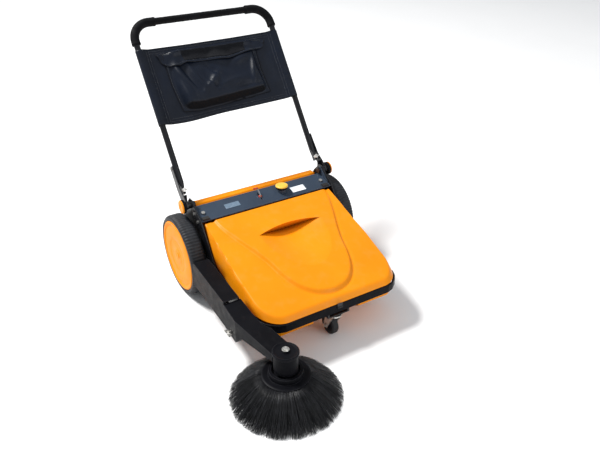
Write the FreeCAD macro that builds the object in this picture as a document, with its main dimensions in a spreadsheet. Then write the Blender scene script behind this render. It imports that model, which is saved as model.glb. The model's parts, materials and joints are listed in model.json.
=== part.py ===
"""Walk-behind sweeper: a push sweeper with two drive wheels, a main brush, a side brush and a lift-out hopper.

Frame: millimetres, origin on the floor under the wheel axle, +X to the right, -Y forward, +Z up.
Every sub-part is one object in the document, driven by the spreadsheet, and is written to parts/NAME.step.
"""
import FreeCAD, Part
import math
import os
import Sketcher

V = FreeCAD.Vector
SIDES = (("left", -1), ("right", 1))

DIMENSIONS = (
    ("wheel_radius", 150), ("tyre_depth", 18),
    ("axle_radius", 12), ("shaft_radius", 8), ("running_gap", 0.05), ("gap", 0.3),
    ("plate_inner", 270), ("plate_thick", 4), ("cover_half", 264), ("wall", 4),
    ("gear_module", 5), ("ring_teeth", 40), ("pinion_teeth", 12),
    ("brush_y", -66), ("brush_z", 126.68), ("brush_radius", 126.4), ("brush_half", 240), ("core_radius", 30),
    ("tub_half", 256),
    ("front_y", -545), ("caster_y", -522), ("caster_trail", 26), ("caster_radius", 37),
    ("pivot_y", -5), ("pivot_z", 345), ("lean", 36.4), ("leg_half", 277), ("leg_y", 56), ("leg_z", 389),
    ("handle_length", 616), ("wing_z", -14), ("tube_radius", 11), ("bend_radius", 66), ("grip_radius", 12.8), ("elbow_radius", 16.5),
    ("panel_low", 236), ("panel_high", 514), ("pocket_half", 185), ("pocket_low", 266), ("pocket_high", 488),
    ("pocket_depth", 48),
    ("arm_outer", -345), ("arm_inner", -290), ("arm_pivot_y", -180), ("arm_pivot_z", 162),
    ("side_x", -278), ("side_y", -676), ("side_radius", 176), ("hub_radius", 37), ("hub_top", 170),
    ("belt_x", -281), ("belt_radius", 2.2), ("wheel_pulley", 52), ("drive_pulley", 20), ("arm_pulley", 18),
    ("spindle_pulley", 14), ("spindle_belt_z", 152), ("arm_belt_x", -331),
    ("knob_x", 77), ("knob_y", -40), ("knob_radius", 25), ("clamp_radius", 25),
    ("lever_x", -15), ("lever_y", -40), ("lever_z", 302), ("hinge_y", -96), ("hinge_z", 278),
)

doc = FreeCAD.newDocument("walk_behind_sweeper")
sheet = doc.addObject("Spreadsheet::Sheet", "d")
sheet.Label = "dimensions"
for row, (alias, number) in enumerate(DIMENSIONS, 1):
    sheet.set(f"A{row}", alias)
    sheet.set(f"B{row}", str(number))
    sheet.setAlias(f"B{row}", alias)
doc.recompute()

nodes = {}


# ---- helpers: every length below is an expression on the sheet, written as text or a number ----

def text(expression):
    """An expression as text; bare names of the sheet get their prefix."""
    words = str(expression)
    for alias in sorted((name for name, _ in DIMENSIONS), key=len, reverse=True):
        words = replace_word(words, alias)
    return words


def replace_word(words, alias):
    """Prefix one alias with the sheet's name wherever it stands as a whole word."""
    out = ""
    position = 0
    while True:
        found = words.find(alias, position)
        if found < 0:
            return out + words[position:]
        end = found + len(alias)
        before = words[found - 1] if found else " "
        after = words[end] if end < len(words) else " "
        whole = not (before.isalnum() or before in "_.") and not (after.isalnum() or after == "_")
        out += words[position:found] + ("d." + alias if whole else alias)
        position = end


def number(expression):
    return float(sheet.evalExpression(text(expression)))


def new(kind, name):
    return doc.addObject(kind, name)


def keep(name, item):
    """Name a finished sub-part and keep it for writing."""
    item.Label = name
    nodes[name] = item
    return item


def put(item, x=0, y=0, z=0, rotation=None):
    """Place an object with its base bound to the sheet."""
    turn = rotation or FreeCAD.Rotation()
    item.Placement = FreeCAD.Placement(V(number(x), number(y), number(z)), turn)
    for axis, expression in zip("xyz", (x, y, z)):
        item.setExpression(f".Placement.Base.{axis}", text(expression))
    return item


def box(name, low, high):
    """A block between two corners."""
    item = new("Part::Box", name)
    for side, lower, upper in zip(("Length", "Width", "Height"), low, high):
        item.setExpression(side, text(f"({upper}) - ({lower})"))
    return put(item, *low)


AXIS_TURN = {"X": FreeCAD.Rotation(V(0, 1, 0), 90), "Y": FreeCAD.Rotation(V(1, 0, 0), -90), "Z": FreeCAD.Rotation()}


def rod(name, axis, radius, start, end, centre):
    """A round bar along an axis; centre gives its two other coordinates in order."""
    item = new("Part::Cylinder", name)
    item.setExpression("Radius", text(radius))
    item.setExpression("Height", text(f"({end}) - ({start})"))
    spot = {"X": (start, *centre), "Y": (centre[0], start, centre[1]), "Z": (*centre, start)}[axis]
    return put(item, *spot, AXIS_TURN[axis])


def fuse(name, items):
    item = new("Part::MultiFuse", name)
    item.Shapes = list(items)
    return item


def group(name, items):
    """Separate solids that share one node."""
    item = new("Part::Compound", name)
    item.Links = list(items)
    return item


def cut(name, base, tools):
    item = new("Part::Cut", name)
    item.Base = base
    item.Tool = tools[0] if len(tools) == 1 else fuse(name + "_tools", tools)
    return item


def common(name, first, second):
    item = new("Part::Common", name)
    item.Base = first
    item.Tool = second
    return item


def tube(name, axis, inner, outer, start, end, centre):
    """A ring or sleeve along an axis."""
    body = rod(name + "_outer", axis, outer, start, end, centre)
    hole = rod(name + "_bore", axis, inner, f"({start}) - 1", f"({end}) + 1", centre)
    return cut(name, body, [hole])


def outline(body, name, plane, offset, points):
    """A closed sketch of straight edges on one of the body's planes, each corner bound to the sheet."""
    sketch = body.newObject("Sketcher::SketchObject", name)
    datum = [feature for feature in body.Origin.OriginFeatures if feature.Role == plane][0]
    sketch.AttachmentSupport = [(datum, "")]
    sketch.MapMode = "FlatFace"
    sketch.AttachmentOffset = FreeCAD.Placement(V(0, 0, number(offset)), FreeCAD.Rotation())
    sketch.setExpression(".AttachmentOffset.Base.z", text(offset))
    corners = [V(number(a), number(b), 0) for a, b in points]
    count = len(corners)
    for index in range(count):
        sketch.addGeometry(Part.LineSegment(corners[index], corners[(index + 1) % count]), False)
    for index in range(count):
        sketch.addConstraint(Sketcher.Constraint("Coincident", index, 2, (index + 1) % count, 1))
    for index, pair in enumerate(points):
        for kind, expression in zip(("DistanceX", "DistanceY"), pair):
            place = sketch.addConstraint(Sketcher.Constraint(kind, -1, 1, index, 1, number(expression)))
            sketch.setExpression(f"Constraints[{place}]", text(expression))
    return sketch


def prism(name, plane, points, start, end):
    """A straight extrusion: YZ_Plane runs along X, XY_Plane along Z."""
    body = new("PartDesign::Body", name)
    sketch = outline(body, name + "_outline", plane, start, points)
    pad = body.newObject("PartDesign::Pad", name + "_pad")
    pad.Profile = sketch
    pad.setExpression("Length", text(f"({end}) - ({start})"))
    sketch.Visibility = False
    return body


def turned(name, axis, points, centre):
    """A solid of revolution: axis X takes (x, radius) points, axis Z takes (radius, z) points."""
    body = new("PartDesign::Body", name)
    sketch = outline(body, name + "_outline", "XY_Plane" if axis == "X" else "XZ_Plane", 0, points)
    turn = body.newObject("PartDesign::Revolution", name + "_turn")
    turn.Profile = sketch
    turn.ReferenceAxis = (sketch, ["H_Axis" if axis == "X" else "V_Axis"])
    turn.Angle = 360
    return put(body, *centre)


def loft(name, sections):
    """A ruled skin through outlines at several y stations; sections hold (y, points in x and z)."""
    body = new("PartDesign::Body", name)
    sketches = []
    for index, (station, points) in enumerate(sections):
        sketches.append(outline(body, f"{name}_section_{index}", "XZ_Plane", f"-({station})", points))
    skin = body.newObject("PartDesign::AdditiveLoft", name + "_skin")
    skin.Profile = sketches[0]
    skin.Sections = sketches[1:]
    skin.Ruled = True
    return body


def span(sign, inner, outer):
    """The x range of a piece on one side, given as distances from the centre plane."""
    return (inner, outer) if sign > 0 else (f"-({outer})", f"-({inner})")


def hexagon(name, axis, flats, start, end, centre):
    """A hexagon head, as a prism primitive along an axis."""
    item = new("Part::Prism", name)
    item.Polygon = 6
    item.setExpression("Circumradius", text(f"({flats}) / 1.732"))
    item.setExpression("Height", text(f"({end}) - ({start})"))
    spot = {"X": (start, *centre), "Y": (centre[0], start, centre[1]), "Z": (*centre, start)}[axis]
    return put(item, *spot, AXIS_TURN[axis])


# ---- gears ----

def involute_flank(base, start, end, steps=3):
    """(radius, angle) pairs of an involute from one radius to another."""
    pairs = []
    for index in range(steps + 1):
        radius = start + (end - start) * index / steps
        pressure = math.acos(min(1.0, base / radius)) if radius > base else 0.0
        pairs.append((radius, math.tan(pressure) - pressure))
    return pairs


def gear_face(teeth, root, tip, slack, turn):
    """A spur-tooth outline about the origin, with one tooth centred on the angle `turn`."""
    pitch = number("gear_module") * teeth / 2
    base = pitch * math.cos(math.radians(20))
    flank = involute_flank(base, max(root, base), tip)
    at_pitch = math.tan(math.radians(20)) - math.radians(20)
    half = math.pi / (2 * teeth) + slack / pitch
    points = []
    for tooth in range(teeth):
        centre = turn + 2 * math.pi * tooth / teeth
        rising = [(radius, centre - half - at_pitch + angle) for radius, angle in flank]
        falling = [(radius, centre + half + at_pitch - angle) for radius, angle in reversed(flank)]
        if root < base:
            rising.insert(0, (root, rising[0][1]))
            falling.append((root, falling[-1][1]))
        points += [V(radius * math.cos(angle), radius * math.sin(angle), 0) for radius, angle in rising + falling]
    return Part.Face(Part.makePolygon(points + points[:1]))


ALONG_X = FreeCAD.Rotation(V(1, 1, 1), 120)
MESH_TURN = math.atan2(number("brush_z - wheel_radius"), number("brush_y"))


def pinion(name, sign, clearance):
    """The small gear on the brush shaft, in mesh with the ring gear inside the wheel."""
    teeth = int(number("pinion_teeth"))
    face = gear_face(teeth, 24.5, 34, -0.12, MESH_TURN)
    bore = Part.makeCylinder(number("shaft_radius + " + clearance), 14)
    item = new("Part::Feature", name)
    item.Shape = face.extrude(V(0, 0, 14)).cut(bore)
    return put(item, *((290,) if sign > 0 else (-304,)), "brush_y", "brush_z", ALONG_X)


def ring_gear(name, sign):
    """The internal ring gear moulded inside a wheel."""
    teeth = int(number("ring_teeth"))
    spaces = gear_face(teeth, 97.2, 106, 0.12, MESH_TURN)
    ring = Part.makeCylinder(118.5, 16).cut(spaces.extrude(V(0, 0, 16)))
    item = new("Part::Feature", name)
    item.Shape = ring
    return put(item, *((289,) if sign > 0 else (-305,)), 0, "wheel_radius", ALONG_X)


# ---- chassis ----

def side_plates():
    axles, bearings, skirts, bolts = [], [], [], []
    profile = [(80, 70), (80, 262), (40, 330), (18, 352), (6, 366), (-16, 366), (-30, 352), (-84, 318),
               (-190, 176), (-200, 166), (-458, 150), (-470, 142), (-470, 100), (-456, 76), (-215, 70), (-195, 62),
               (60, 62)]
    rail = [(-240, 74), (-240, 80), (-450, 86), (-450, 79.7)]
    for side, sign in SIDES:
        low, high = span(sign, "plate_inner", "plate_inner + plate_thick")
        through = (f"{low} - 1", f"{high} + 1")
        blank = fuse(side + "_plate_blank", [prism(side + "_plate_sheet", "YZ_Plane", profile, low, high),
                                             prism(side + "_rail", "YZ_Plane", rail, *span(sign, 246, "plate_inner"))])
        holes = [rod(side + "_axle_hole", "X", "axle_radius", *through, (0, "wheel_radius")),
                 rod(side + "_brush_hole", "X", "shaft_radius + 3", *through, ("brush_y", "brush_z")),
                 rod(side + "_pivot_hole", "X", 5, *through, ("pivot_y", "pivot_z"))]
        if sign < 0:
            holes.append(rod("arm_shaft_hole", "X", "shaft_radius + running_gap", *through,
                             ("arm_pivot_y", "arm_pivot_z")))
        keep(side + "_side_plate", cut(side + "_side_plate", blank, holes))
        middle = (0, "wheel_radius")
        bar = rod(side + "_axle_bar", "X", "axle_radius", *span(sign, 258, 332), middle)
        flange = rod(side + "_axle_flange", "X", 24, *span(sign, "plate_inner - 6", "plate_inner"), middle)
        axles.append(fuse(side + "_axle", [bar, flange]))
        axles.append(tube(side + "_axle_clip", "X", "axle_radius", 18, *span(sign, 322.4, 325), middle))
        bearings.append(tube(side + "_brush_bearing", "X", "shaft_radius + running_gap", 19, *span(sign, 258, 270),
                             ("brush_y", "brush_z")))
        low, high = span(sign, "plate_inner - 4", "plate_inner")
        skirts.append(box(side + "_skirt", (low, -185, 5), (high, 60, 78)))
        bolts += [hexagon(f"{side}_bolt_{index}", "X", 10, *span(sign, "plate_inner + plate_thick", 277.5), spot)
                  for index, spot in enumerate(((-34, 322), (-58, 300), (-300, 120), (-430, 128)))]
    keep("stub_axles", group("stub_axles", axles))
    keep("brush_bearings", group("brush_bearings", bearings))
    keep("side_skirts", group("side_skirts", skirts))
    keep("plate_bolts", group("plate_bolts", bolts))


def console():
    """The folded cross plate with its end gussets, the knob boss and the lever's ears."""
    profile = [(-80, 306), (-80, 309.5), (-6, 331.5), (-2, 331.5), (-2, 296), (-5, 296), (-5, 328.2)]
    plate = prism("console_sheet", "YZ_Plane", profile, "-plate_inner", "plate_inner")
    parts = [plate, rod("knob_boss", "Z", 19, 318, 330, ("knob_x", "knob_y")),
             rod("lever_pin", "X", 2.5, "lever_x - 5", "lever_x + 5", ("lever_y", "lever_z"))]
    for index, low in enumerate((-5, 2.6)):
        parts.append(box(f"lever_ear_{index}", (f"lever_x + ({low})", -46, 292), (f"lever_x + ({low + 2.4})", -34, 320)))
    for side, sign in SIDES:
        parts.append(prism(side + "_gusset", "YZ_Plane",
                           [(-2, 330), (-2, 358), (-5, 362), (-9, 362), (-62, 319.5), (-62, 314)],
                           *span(sign, "plate_inner - 3", "plate_inner")))
    hole = rod("knob_hole", "Z", 6.3, 290, 345, ("knob_x", "knob_y"))
    pivots = [rod(side + "_gusset_hole", "X", 5, *span(sign, 260, 271), ("pivot_y", "pivot_z")) for side, sign in SIDES]
    slot = box("lever_slot", ("lever_x - 2.5", -57, 300), ("lever_x + 2.5", -18, 345))
    whole = fuse("console_parts", parts)
    pin_again = rod("lever_pin_whole", "X", 2.5, "lever_x - 5", "lever_x + 5", ("lever_y", "lever_z"))
    keep("console_plate", fuse("console_plate", [cut("console_cut", whole, [hole, slot, *pivots]), pin_again]))
    turn = FreeCAD.Rotation(V(1, 0, 0), math.degrees(math.atan2(22, 74)))
    labels = []
    for index, (low, high, front, deep) in enumerate(((-160, -102, -54, 23), (112, 170, -65, 28))):
        label = new("Part::Box", f"label_{index}")
        label.Length, label.Width, label.Height = high - low, deep, 0.6
        labels.append(put(label, low, front, 315.2 + (front + 62) * 22 / 74, turn))
    keep("console_labels", group("console_labels", labels))
    bolts = []
    for index, spot in enumerate((-246, 246)):
        head = hexagon(f"console_bolt_{index}", "Z", 13, 0, 5, (0, 0))
        bolts.append(put(head, spot, -44.8, 320.6, turn))
    keep("console_bolts", group("console_bolts", bolts))
    block = [(-79.5, 309.9), (-66, 313.9), (-66, 318.5), (-79.5, 316)]
    keep("hood_stops", group("hood_stops", [prism(side + "_stop", "YZ_Plane", block, *span(sign, 236, 262))
                                            for side, sign in SIDES]))


def rear_cover():
    outer = [(-1.7, 300), (-1.7, 314), (20, 317), (26, 324), (56, 322), (70, 308), (92, 190), (92, 46), (88, 46),
             (88, 189.6), (66.3, 306), (54.4, 318.1), (27.6, 320), (21.7, 313.3), (2.3, 310.5), (2.3, 300)]
    keep("rear_cover", prism("rear_cover", "YZ_Plane", outer, "-cover_half", "cover_half"))
    keep("rear_skirt", box("rear_skirt", (-262, 84, 4), (262, 88, 78)))


def bumper():
    outer = [(-268, -444), (-268, -488), (-260, -508), (-246, -526), (-226, -541), (-202, "front_y - 4"),
             (202, "front_y - 4"), (226, -541), (246, -526), (260, -508), (268, -488), (268, -444)]
    inner = [(-261, -443), (-261, -486), (-254, -504), (-242, -520), (-224, -534), (-201, "front_y + 4"),
             (201, "front_y + 4"), (224, -534), (242, -520), (254, -504), (261, -486), (261, -443)]
    keep("front_bumper", cut("front_bumper", prism("bumper_outer", "XY_Plane", outer, 120, 151),
                             [prism("bumper_inner", "XY_Plane", inner, 119, 152)]))
    plate = box("caster_pad", (-42, "front_y", 104), (42, "caster_y + 30", 108))
    webs = [box(f"caster_web_{index}", (x, "front_y", 106), (x + 6, "front_y + 4", 120))
            for index, x in enumerate((-42, 36))]
    pin = rod("caster_kingpin", "Z", 6, 89, 106, (0, "caster_y"))
    nut = rod("kingpin_head", "Z", 9, 89, 92, (0, "caster_y"))
    keep("caster_mount", fuse("caster_mount", [plate, pin, nut, *webs]))


def drive_belt():
    """The belt from the left wheel's pulley to the arm's pulley shaft, as two strands round both."""
    small, large = number("drive_pulley"), number("wheel_pulley")
    start = V(0, number("wheel_radius"), 0)
    end = V(number("arm_pivot_y"), number("arm_pivot_z"), 0)
    loop = belt_hull(start, large - 1.9, end, small - 1.9, 4.0).cut(belt_hull(start, large - 1.9, end, small - 1.9, 0))
    item = new("Part::Feature", "wheel_belt")
    item.Shape = loop.extrude(V(0, 0, 5))
    put(item, "belt_x - 2.5", 0, 0, ALONG_X)
    keep("wheel_belt", item)


def belt_hull(first, radius_1, second, radius_2, grow):
    """The area inside a tight loop round two circles."""
    big, small = radius_1 + grow, radius_2 + grow
    line = second - first
    lean = math.acos((big - small) / line.Length)
    heading = math.atan2(line.y, line.x)

    def on(centre, radius, angle):
        return centre + V(radius * math.cos(angle), radius * math.sin(angle), 0)

    high, low = heading + lean, heading - lean
    edges = [Part.LineSegment(on(first, big, high), on(second, small, high)).toShape(),
             Part.Arc(on(second, small, high), on(second, small, heading), on(second, small, low)).toShape(),
             Part.LineSegment(on(second, small, low), on(first, big, low)).toShape(),
             Part.Arc(on(first, big, low), on(first, big, heading + math.pi), on(first, big, high)).toShape()]
    return Part.Face(Part.Wire(edges))


# ---- wheels ----

def wheels():
    middle = (0, 0, "wheel_radius")
    for side, sign in SIDES:
        def at(*pairs):
            return [(f"{sign} * ({x})", radius) for x, radius in pairs]

        inner = "wheel_radius - tyre_depth"
        tyre = at((285, inner), (285, "wheel_radius - 6"), (288, "wheel_radius - 2"), (294, "wheel_radius"),
                  (333, "wheel_radius"), (339, "wheel_radius - 2"), (343, "wheel_radius - 6"), (343, inner))
        keep(side + "_tyre", turned(side + "_tyre", "X", tyre, middle))
        bore = "axle_radius + running_gap"
        barrel = at((287, inner), (287, 118), (312, 118), (312, 20), (286, 20), (286, bore), (322, bore), (322, 20),
                    (318, 20), (318, 118), (334, 122), (334, inner))
        parts = [turned(side + "_rim_barrel", "X", barrel, middle), ring_gear(side + "_ring", sign)]
        if sign < 0:
            parts.append(wheel_pulley())
        keep(side + "_wheel_rim", fuse(side + "_wheel_rim", parts))
        disc = at((341, 0), (344.5, 0), (344.5, 34), (343.5, 40), (340.5, 96), (341.5, 112), (342.5, 131),
                  (339.5, 131), (334.3, 130), (334.3, 127), (338, 126), (337, 96), (341, 34))
        keep(side + "_wheel_disc", turned(side + "_wheel_disc", "X", disc, middle))


def wheel_pulley():
    """The belt pulley on the left wheel's inner face."""
    bore = "axle_radius + running_gap"
    points = [(-277.2, bore), (-277.2, "wheel_pulley + 2"), (-278.4, "wheel_pulley + 2"), (-278.4, "wheel_pulley - 2.2"),
              (-283.6, "wheel_pulley - 2.2"), (-283.6, "wheel_pulley + 2"), (-285, "wheel_pulley + 2"), (-285, 19),
              (-287, 19), (-287, bore)]
    return turned("pulley_spool", "X", points, (0, 0, "wheel_radius"))


# ---- main brush ----

def main_brush():
    centre = ("brush_y", "brush_z")
    shaft = rod("brush_shaft", "X", "shaft_radius", -304, 306, centre)
    drum = rod("brush_drum", "X", "core_radius", "-brush_half", "brush_half", centre)
    keep("brush_core", fuse("brush_core", [shaft, drum]))
    rows = []
    for index in range(8):
        row = new("Part::Box", f"bristle_row_{index}")
        row.setExpression("Length", text("2 * brush_half - 8"))
        row.Width = 8
        row.setExpression("Height", text("brush_radius - core_radius - 0.3"))
        turn = FreeCAD.Rotation(V(1, 0, 0), 45 * index)
        start = turn.multVec(V(0, -4, number("core_radius") + 0.3))
        put(row, "4 - brush_half", f"brush_y + ({start.y:.4f})", f"brush_z + ({start.z:.4f})", turn)
        rows.append(row)
    keep("brush_bristles", group("brush_bristles", rows))
    keep("left_pinion", pinion("left_pinion", -1, "gap"))
    keep("right_pinion", pinion("right_pinion", 1, "running_gap"))


# ---- side arm and side brush ----

def arm():
    outer, inner = "arm_outer", "arm_inner"
    shell = prism("arm_cover_blank", "YZ_Plane", [(-155, 116), (-155, 196), (-162, 209), (-170, 212), (-400, 199),
                                                  (-400, 102)], outer, inner)
    hollow = prism("arm_cover_hollow", "YZ_Plane", [(-158, 119), (-158, 195), (-164, 206), (-170, 209), (-401, 196),
                                                    (-401, 105)], f"{outer} + 3", f"{inner} - 3")
    window = box("arm_window", (f"{inner} - 4", -402, 106), (f"{inner} + 1", -260, 192))
    bore = rod("arm_bore", "X", "shaft_radius + running_gap", f"{outer} + 0.5", f"{inner} + 1",
               ("arm_pivot_y", "arm_pivot_z"))
    keep("arm_cover", cut("arm_cover", shell, [hollow, window, bore]))
    side = [(-400.3, 190), (-400.3, 100), (-476, 90), (-510, 127), (-660, 139), (-660, 167), (-470, 178)]
    side_in = [(-399, 187), (-399, 103), (-470, 94), (-508, 126), (-661, 137), (-661, 164), (-470, 175)]
    plan = [(-345, -399), (-345, -480), (-314, -660), (-246, -660), (-262, -560), (-277.5, -533),
            (-284, -399)]
    plan_in = [(-342, -398), (-342, -479), (-311, -661), (-249, -661), (-265, -560), (-280.5, -534),
               (-287, -398)]
    body = common("arm_front_body", prism("arm_front_side", "YZ_Plane", side, -350, -230),
                  prism("arm_front_plan", "XY_Plane", plan, 80, 200))
    space = common("arm_front_space", prism("arm_front_side_in", "YZ_Plane", side_in, -350, -230),
                   prism("arm_front_plan_in", "XY_Plane", plan_in, 80, 200))
    well = rod("arm_front_well", "Z", "hub_radius + gap", 80, 200, ("side_x", "side_y"))
    keep("arm_front", cut("arm_front", body, [space, well]))
    housing = rod("housing_outer", "Z", "hub_radius", 110, "hub_top", ("side_x", "side_y"))
    room = rod("housing_room", "Z", "hub_radius - 4", 114, "hub_top - 3", ("side_x", "side_y"))
    hole = rod("housing_hole", "Z", "shaft_radius + running_gap", 109, 115, ("side_x", "side_y"))
    port = box("housing_port", ("side_x - 22", "side_y", 141), ("side_x + 22", "side_y + 50", 163))
    keep("spindle_housing", cut("spindle_housing", housing, [room, hole, port]))
    cap = turned("hub_dish", "Z", [(0, "hub_top"), (41, "hub_top"), (41, "hub_top + 5"), (38, "hub_top + 8"),
                                   (30, "hub_top + 6"), (0, "hub_top + 6")], ("side_x", "side_y", 0))
    bolt = hexagon("hub_bolt", "Z", 17, "hub_top + 4", "hub_top + 13", ("side_x", "side_y"))
    keep("hub_cap", fuse("hub_cap", [cap, bolt]))
    keep("arm_wing_bolt", wing("arm_wing_bolt", -1, 345.3, (-444, 110)))
    keep("arm_belt", twist_belt())


def wing(name, sign, start, centre):
    """A wing bolt whose wings stand out sideways from the machine."""
    y, z = centre
    boss = rod(name + "_boss", "X", 7, *span(sign, start, start + 8), centre)
    wings = [box(f"{name}_blade_{index}", (span(sign, start + 3, start + 15)[0], f"{y} + ({low})", f"{z} - 1.5"),
                 (span(sign, start + 3, start + 15)[1], f"{y} + ({low} + 13)", f"{z} + 1.5"))
             for index, low in enumerate((-17, 4))]
    return fuse(name, [boss, *wings])


def leg_wing(side, sign):
    """The wing bolt through the front of a leg's lower end, in the handle's own frame."""
    middle = f"{sign} * leg_half"
    parts = [rod(side + "_wing_boss", "Y", 7, "-tube_radius - 8.3", "-tube_radius - gap", (middle, "wing_z"))]
    for index, low in enumerate((-10.8, 4)):
        parts.append(box(f"{side}_wing_blade_{index}", (f"{middle} + ({low})", "-tube_radius - 15", "wing_z - 1.5"),
                         (f"{middle} + ({low} + 6.8)", "-tube_radius - 3", "wing_z + 1.5")))
    return parts


def half_ring(name, radius, centre, turn):
    item = new("Part::Torus", name)
    item.setExpression("Radius1", text(radius))
    item.setExpression("Radius2", text("belt_radius"))
    item.Angle3 = 180
    return put(item, *centre, turn)


def twist_belt():
    """The round belt from the arm's pulley shaft to the brush spindle, with a quarter twist."""
    pieces = [half_ring("belt_rear", "arm_pulley", ("arm_belt_x", "arm_pivot_y", "arm_pivot_z"),
                        FreeCAD.Rotation(V(0, 1, 0), -90)),
              half_ring("belt_front", "spindle_pulley", ("side_x", "side_y", "spindle_belt_z"),
                        FreeCAD.Rotation(V(0, 0, 1), 180))]
    for index, sign in enumerate((1, -1)):
        start = V(number("arm_belt_x"), number("arm_pivot_y"), number(f"arm_pivot_z + {sign} * arm_pulley"))
        end = V(number(f"side_x - {sign} * spindle_pulley"), number("side_y"), number("spindle_belt_z"))
        step = (end - start).normalize()
        strand = new("Part::Cylinder", f"belt_strand_{index}")
        strand.setExpression("Radius", text("belt_radius"))
        strand.Height = end.distanceToPoint(start) - 1
        strand.Placement = FreeCAD.Placement(start + step * 0.5, FreeCAD.Rotation(V(0, 0, 1), step))
        pieces.append(strand)
    return group("arm_belt", pieces)


def arm_drive():
    """The pulley shaft the arm swings on."""
    centre = ("arm_pivot_y", "arm_pivot_z")
    radius, belt = "drive_pulley", "arm_belt_x"
    groove = [(-262, 0), (-262, "shaft_radius"), (-276, "shaft_radius"), (-276, f"{radius} + 2"), (-278.2, f"{radius} + 2"),
              (-278.2, f"{radius} - 2.2"), (-283.8, f"{radius} - 2.2"), (-283.8, f"{radius} + 2"), (-285.4, f"{radius} + 2"),
              (-285.4, "shaft_radius"), (f"{belt} + 4.6", "shaft_radius"), (f"{belt} + 4.6", "arm_pulley"),
              (f"{belt} + 3.5", "arm_pulley"), (f"{belt} + 3.5", "arm_pulley - 2.6"),
              (f"{belt} - 3.5", "arm_pulley - 2.6"), (f"{belt} - 3.5", "arm_pulley"), (f"{belt} - 4.6", "arm_pulley"),
              (f"{belt} - 4.6", "shaft_radius"), (-344, "shaft_radius"), (-344, 0)]
    keep("arm_pulley_shaft", turned("arm_pulley_shaft", "X", groove, (0, *centre)))


def side_brush():
    middle = ("side_x", "side_y", 0)
    radius = "spindle_pulley"
    spindle = [(0, 78), ("shaft_radius", 78), ("shaft_radius", 147), (f"{radius} + 2", 147), (f"{radius} + 2", 148.6),
               (f"{radius} - 2.6", 148.6), (f"{radius} - 2.6", 155.4), (f"{radius} + 2", 155.4), (f"{radius} + 2", 157),
               ("shaft_radius", 157), ("shaft_radius", 165), (0, 165)]
    keep("brush_spindle", turned("brush_spindle", "Z", spindle, middle))
    plate = [("shaft_radius", 84), (74, 84), (74, 90), (70, 92), (54, 92), (52, 108), (44, 108), (40, 96),
             ("shaft_radius", 96)]
    keep("side_brush_plate", turned("side_brush_plate", "Z", plate, middle))
    skirt = [(58, 83.7), (72, 83.7), (98, 62), (136, 30), ("side_radius", 0.4), ("side_radius - 22", 0.4), (120, 22),
             (84, 54)]
    keep("side_brush_bristles", turned("side_brush_bristles", "Z", skirt, middle))


# ---- caster ----

def caster():
    axle_y = "caster_y + caster_trail"
    crown = tube("fork_crown", "Z", "6 + running_gap", 24, 92.4, 98, (0, "caster_y"))
    cheeks = [prism(f"fork_cheek_{index}", "YZ_Plane",
                    [("caster_y - 20", 98), ("caster_y + 20", 98), (f"{axle_y} + 12", "caster_radius + 6"),
                     (f"{axle_y} + 8", "caster_radius - 10"), (f"{axle_y} - 8", "caster_radius - 10"),
                     (f"{axle_y} - 14", "caster_radius + 6")], x, x + 3) for index, x in enumerate((-19, 16))]
    bridge = box("fork_bridge", (-19, "caster_y - 14", 94.5), (19, "caster_y + 14", 98))
    opening = rod("fork_opening", "Z", "6 + running_gap", 80, 99, (0, "caster_y"))
    bolt = rod("caster_bolt", "X", 4, -20, 20, (axle_y, "caster_radius"))
    heads = [hexagon(f"caster_bolt_head_{index}", "X", 13, x, x + 5, (axle_y, "caster_radius"))
             for index, x in enumerate((-24, 19))]
    frame = cut("fork_frame", fuse("fork_blank", [crown, bridge, *cheeks]), [opening])
    keep("caster_fork", fuse("caster_fork", [frame, bolt, *heads]))
    hub = tube("caster_hub", "X", "4 + running_gap", "caster_radius - 10", -12, 12, (axle_y, "caster_radius"))
    keep("caster_wheel", hub)
    tread = [(-12, "caster_radius - 10"), (-12, "caster_radius - 3"), (-9, "caster_radius"), (9, "caster_radius"),
             (12, "caster_radius - 3"), (12, "caster_radius - 10")]
    keep("caster_tyre", turned("caster_tyre", "X", tread, (0, axle_y, "caster_radius")))


# ---- hopper ----

def hopper():
    half, wall = "tub_half", "wall"
    side = [(-206, 84), (-206, 168), (-470, 151.5), (-531, 148), (-532, 98), (-518, 88.3), (-230, 80)]
    side_in = [(-210, 88), (-210, 175), (-470, 160), (-527, 156), (-528, 101), (-515, 92.3), (-232, 84)]
    outer = prism("tub_outer", "YZ_Plane", side, f"-{half}", half)
    notch = box("tub_notch", (-90, -540, 60), (90, -446, 113))
    inner = prism("tub_inner", "YZ_Plane", side_in, f"{wall} - {half}", f"{half} - {wall}")
    step = box("tub_step", (-94, -541, 59), (94, -442, 117))
    corners = [prism(f"tub_corner_{index}", "XY_Plane", [(sign * 212, -532), (sign * 244, -506), (sign * 257, -490),
                                                         (sign * 257, -532)], 70, 180)
               for index, sign in enumerate((-1, 1))]
    corner_in = [prism(f"tub_corner_in_{index}", "XY_Plane", [(sign * 209, -533), (sign * 241, -504),
                                                              (sign * 258, -483), (sign * 258, -533)], 69, 181)
                 for index, sign in enumerate((-1, 1))]
    room = cut("tub_room", inner, [step, *corner_in])
    shell = cut("tub_shell", outer, [notch, room, *corners])
    stay = [(-206.5, 150), (-196, 162), (-100, 268), (-89, 272), (-89, 283), (-103, 284), (-209.5, 166), (-209.5, 150)]
    stays = [prism(f"{side}_stay", "YZ_Plane", stay, *span(sign, 241, 245)) for side, sign in SIDES]
    holes = [rod(f"{side}_stay_hole", "X", 3.3, *span(sign, 240, 246), ("hinge_y", "hinge_z")) for side, sign in SIDES]
    keep("hopper_tub", cut("hopper_tub", fuse("tub_and_stays", [shell, *stays]), holes))
    keep("hood_hinge_rod", rod("hood_hinge_rod", "X", 3, -247, 247, ("hinge_y", "hinge_z")))


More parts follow.
